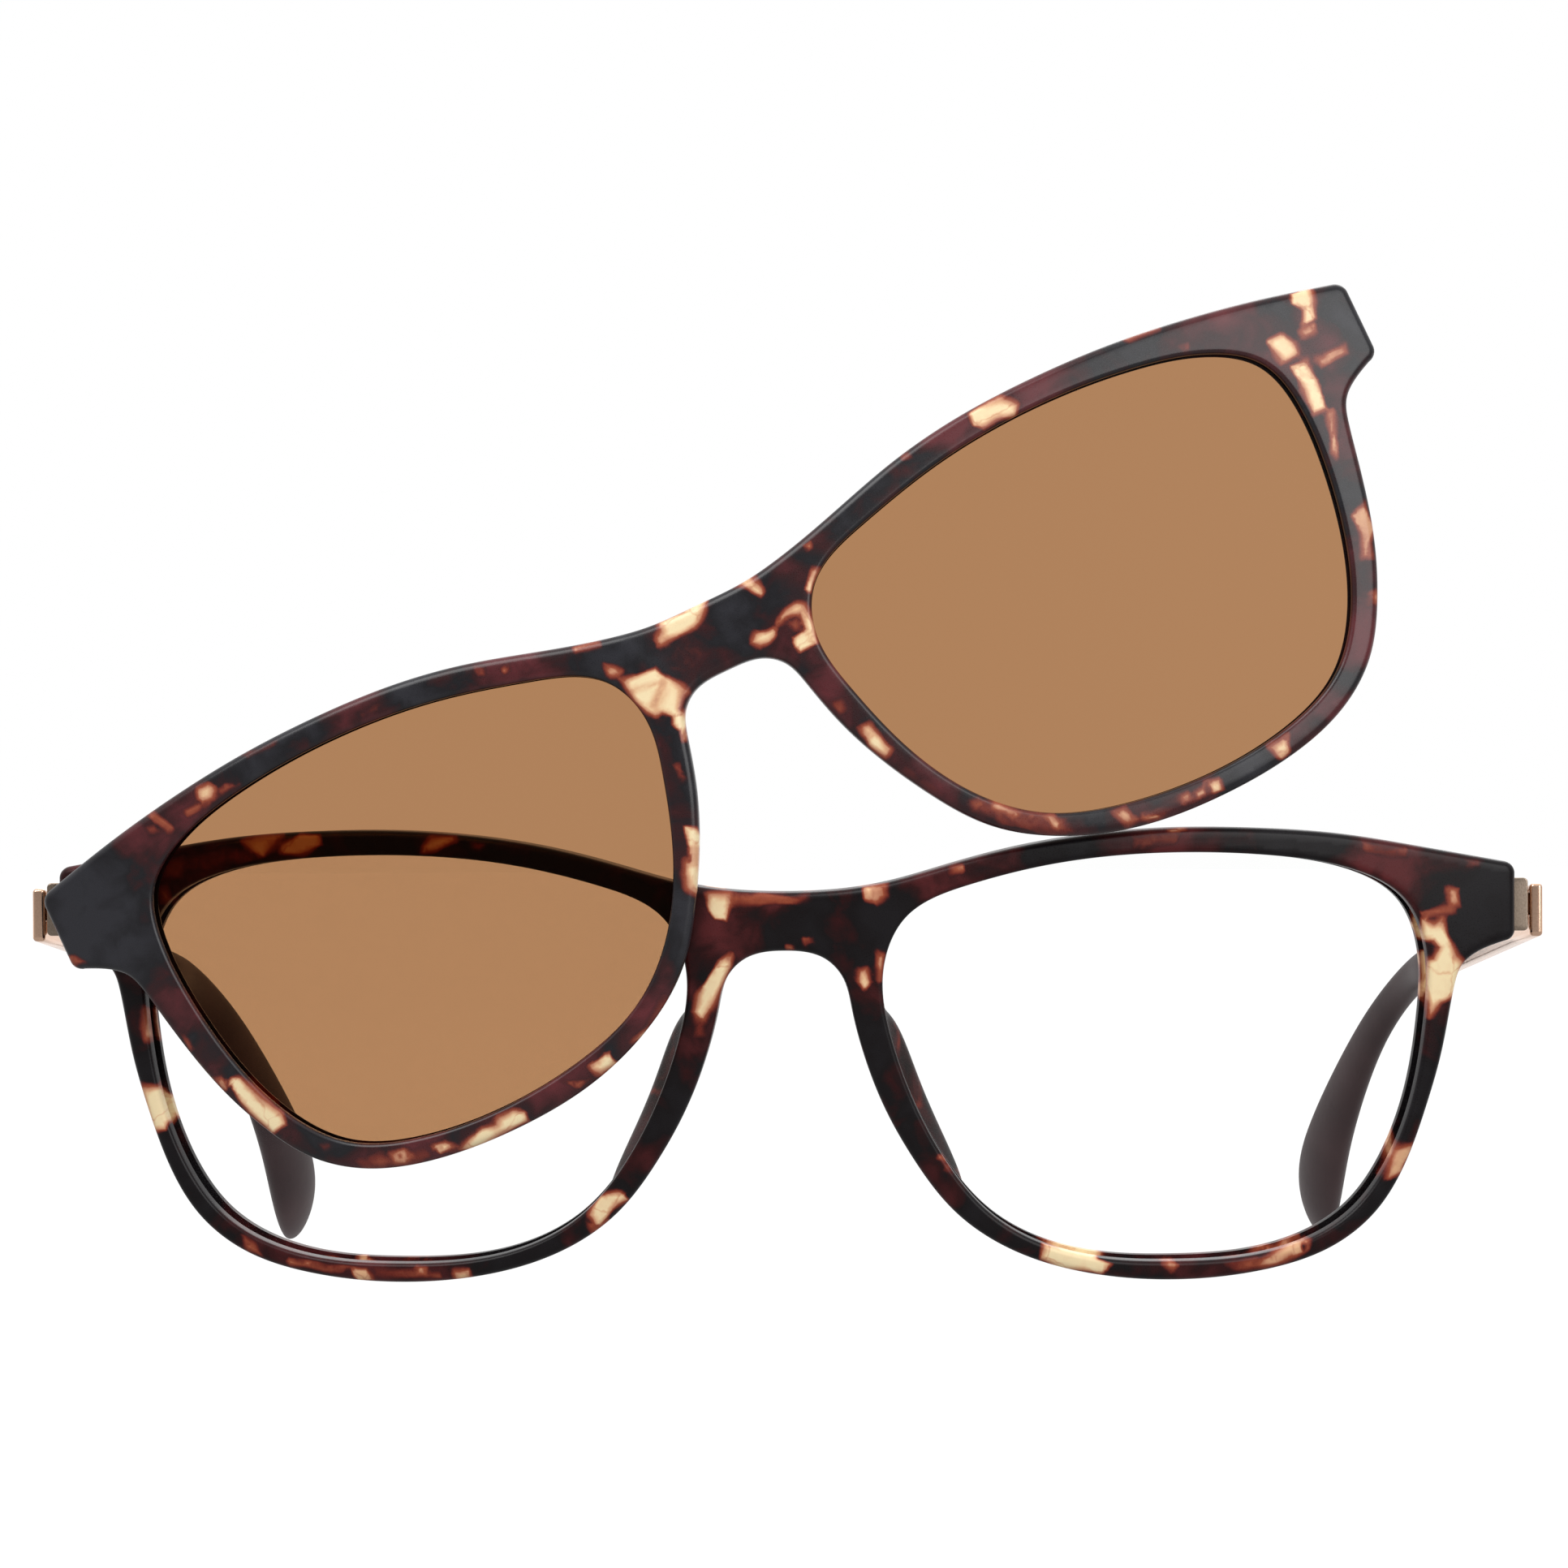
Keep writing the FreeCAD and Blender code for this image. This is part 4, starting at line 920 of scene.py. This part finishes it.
def eased(name, original, body, width, look, end_only=False):
    """The CAD node's own shape with its sharp edges, or only those of its front end, rounded over."""
    mesh = nodes[original].data.copy()
    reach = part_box(original)[0].y + FRONT_END * MM if end_only else math.inf
    work = bmesh.new()
    work.from_mesh(mesh)
    bmesh.ops.remove_doubles(work, verts=work.verts, dist=1e-7)
    bmesh.ops.dissolve_limit(work, angle_limit=math.radians(0.5), verts=work.verts, edges=work.edges)
    sharp = [e for e in work.edges if len(e.link_faces) == 2 and e.calc_face_angle() > SHARP
             and max(v.co.y for v in e.verts) < reach]
    bmesh.ops.bevel(work, geom=sharp, offset=width * MM, segments=EDGE_STEPS, profile=0.5,
                    affect="EDGES", clamp_overlap=False)
    bmesh.ops.triangulate(work, faces=work.faces)
    work.to_mesh(mesh)
    work.free()
    finished(mesh, 40)
    mesh.materials.clear()
    mesh.materials.append(look)
    shown(name, mesh, body, [original])


for side in ("left", "right"):
    eased("hinge_plate_" + side, "hinge_bracket_" + side, "front", PLATE_EDGE, TAUPE)
    eased("temple_bar_" + side, "temple_arm_" + side, "temple_" + side, BAR_EDGE, ROSE, end_only=True)

# ---- floor, light and camera ----
FLOOR_SIZE = 6.0
FLOOR_BELOW = 0.0002         # how far the floor lies under the glasses
PAPER_SEEN = 0.985           # brightness of the floor as the camera sees it
PAPER_LEAST, PAPER_MORE = 0.45, 0.55   # its light on the glasses: the least, and how much it rises
PAPER_RISE, PAPER_START = 8.0, 0.3     # that rise per metre to the rear, and its share at the middle
WORLD_LEAST, WORLD_BEHIND, WORLD_ABOVE = 0.15, 0.6, 0.6
LAMP_SIZE = 0.8


def parted(n, links, output):
    """The three coordinates of a kind of texture coordinate."""
    coords = n.new("ShaderNodeTexCoord")
    parts = n.new("ShaderNodeSeparateXYZ")
    links.new(coords.outputs[output], parts.inputs["Vector"])
    return parts.outputs


def seen_or_lit(n, links, seen, lit, output):
    """One shader as the camera's own view of it, and another as the light on everything else."""
    path = n.new("ShaderNodeLightPath")
    mix = n.new("ShaderNodeMixShader")
    links.new(path.outputs["Is Camera Ray"], mix.inputs["Fac"])
    links.new(lit, mix.inputs[1])
    links.new(seen, mix.inputs[2])
    out = n.new(output)
    links.new(mix.outputs["Shader"], out.inputs["Surface"])


floor_mesh = bpy.data.meshes.new("floor")
floor_mesh.from_pydata([(-FLOOR_SIZE, -FLOOR_SIZE, 0), (FLOOR_SIZE, -FLOOR_SIZE, 0),
                        (FLOOR_SIZE, FLOOR_SIZE, 0), (-FLOOR_SIZE, FLOOR_SIZE, 0)], [], [(0, 1, 2, 3)])
floor = bpy.data.objects.new("floor", floor_mesh)
bpy.context.scene.collection.objects.link(floor)
floor.location.z = cad_low.z - FLOOR_BELOW
paper, n, links = material("floor_paper")
bright = node(n, "ShaderNodeBsdfPrincipled", Base_Color=(0.05, 0.05, 0.05, 1.0), Roughness=0.9,
              Specular_IOR_Level=0.0, Emission_Color=(1.0, 1.0, 1.0, 1.0),
              Emission_Strength=PAPER_SEEN)
dim = node(n, "ShaderNodeEmission", Color=(1.0, 1.0, 1.0, 1.0))
behind = maths(n, links, "MULTIPLY_ADD", parted(n, links, "Object")["Y"], PAPER_RISE, PAPER_START,
               clamp=True)
links.new(maths(n, links, "MULTIPLY_ADD", behind, PAPER_MORE, PAPER_LEAST), dim.inputs["Strength"])
seen_or_lit(n, links, bright.outputs["BSDF"], dim.outputs["Emission"], "ShaderNodeOutputMaterial")
floor_mesh.materials.append(paper)

world = bpy.data.worlds.new("studio")
bpy.context.scene.world = world
world.use_nodes = True
n, links = world.node_tree.nodes, world.node_tree.links
n.clear()
seen = node(n, "ShaderNodeBackground", Color=(1.0, 1.0, 1.0, 1.0), Strength=1.0)
lit = node(n, "ShaderNodeBackground", Color=(1.0, 1.0, 1.0, 1.0))
ways = parted(n, links, "Generated")
behind = maths(n, links, "MULTIPLY_ADD", ways["Y"], 0.5, 0.5, clamp=True)
above = maths(n, links, "MAXIMUM", ways["Z"], 0.0)
level = maths(n, links, "MULTIPLY_ADD", behind, WORLD_BEHIND, WORLD_LEAST)
level = maths(n, links, "MULTIPLY_ADD", above, WORLD_ABOVE, level)
links.new(level, lit.inputs["Strength"])
seen_or_lit(n, links, seen.outputs["Background"], lit.outputs["Background"], "ShaderNodeOutputWorld")

middle = (cad_low + cad_high) / 2


def softbox(name, spot, watts):
    """Square lamp at a spot measured from the middle of the glasses, facing them."""
    data = bpy.data.lights.new(name, "AREA")
    data.shape, data.size, data.energy = "SQUARE", LAMP_SIZE, watts
    lamp = bpy.data.objects.new(name, data)
    lamp.location = middle + Vector(spot)
    lamp.rotation_mode = "QUATERNION"
    lamp.rotation_quaternion = (-Vector(spot)).to_track_quat("-Z", "Y")
    bpy.context.scene.collection.objects.link(lamp)


softbox("key_light", (-0.55, -0.75, 0.95), 8.8)
softbox("fill_light", (0.66, -0.98, 0.36), 6.4)
softbox("back_light", (0.2, 0.9, 0.9), 4.0)

CAMERA_FAR = 1.248
CAMERA_TURN = math.radians(1.0)
CAMERA_HIGH = 0.0477
CAMERA_ROLL = math.radians(0.22)
camera_data = bpy.data.cameras.new("camera")
camera_data.lens, camera_data.sensor_width = 300.0, 36.0
camera_data.shift_y = 0.0010
camera_data.clip_start, camera_data.clip_end = 0.05, 50.0
camera = bpy.data.objects.new("camera", camera_data)
bpy.context.scene.collection.objects.link(camera)
target = Vector((0.0, APEX.y * MM, CAMERA_HIGH))
away = Vector((math.sin(CAMERA_TURN), -math.cos(CAMERA_TURN), 0.0))
camera.location = target + away * CAMERA_FAR
camera.rotation_mode = "QUATERNION"
camera.rotation_quaternion = ((-away).to_track_quat("-Z", "Y")
                              @ Quaternion((0.0, 0.0, 1.0), -CAMERA_ROLL))
bpy.context.scene.camera = camera
bpy.context.scene.view_settings.view_transform = "Standard"
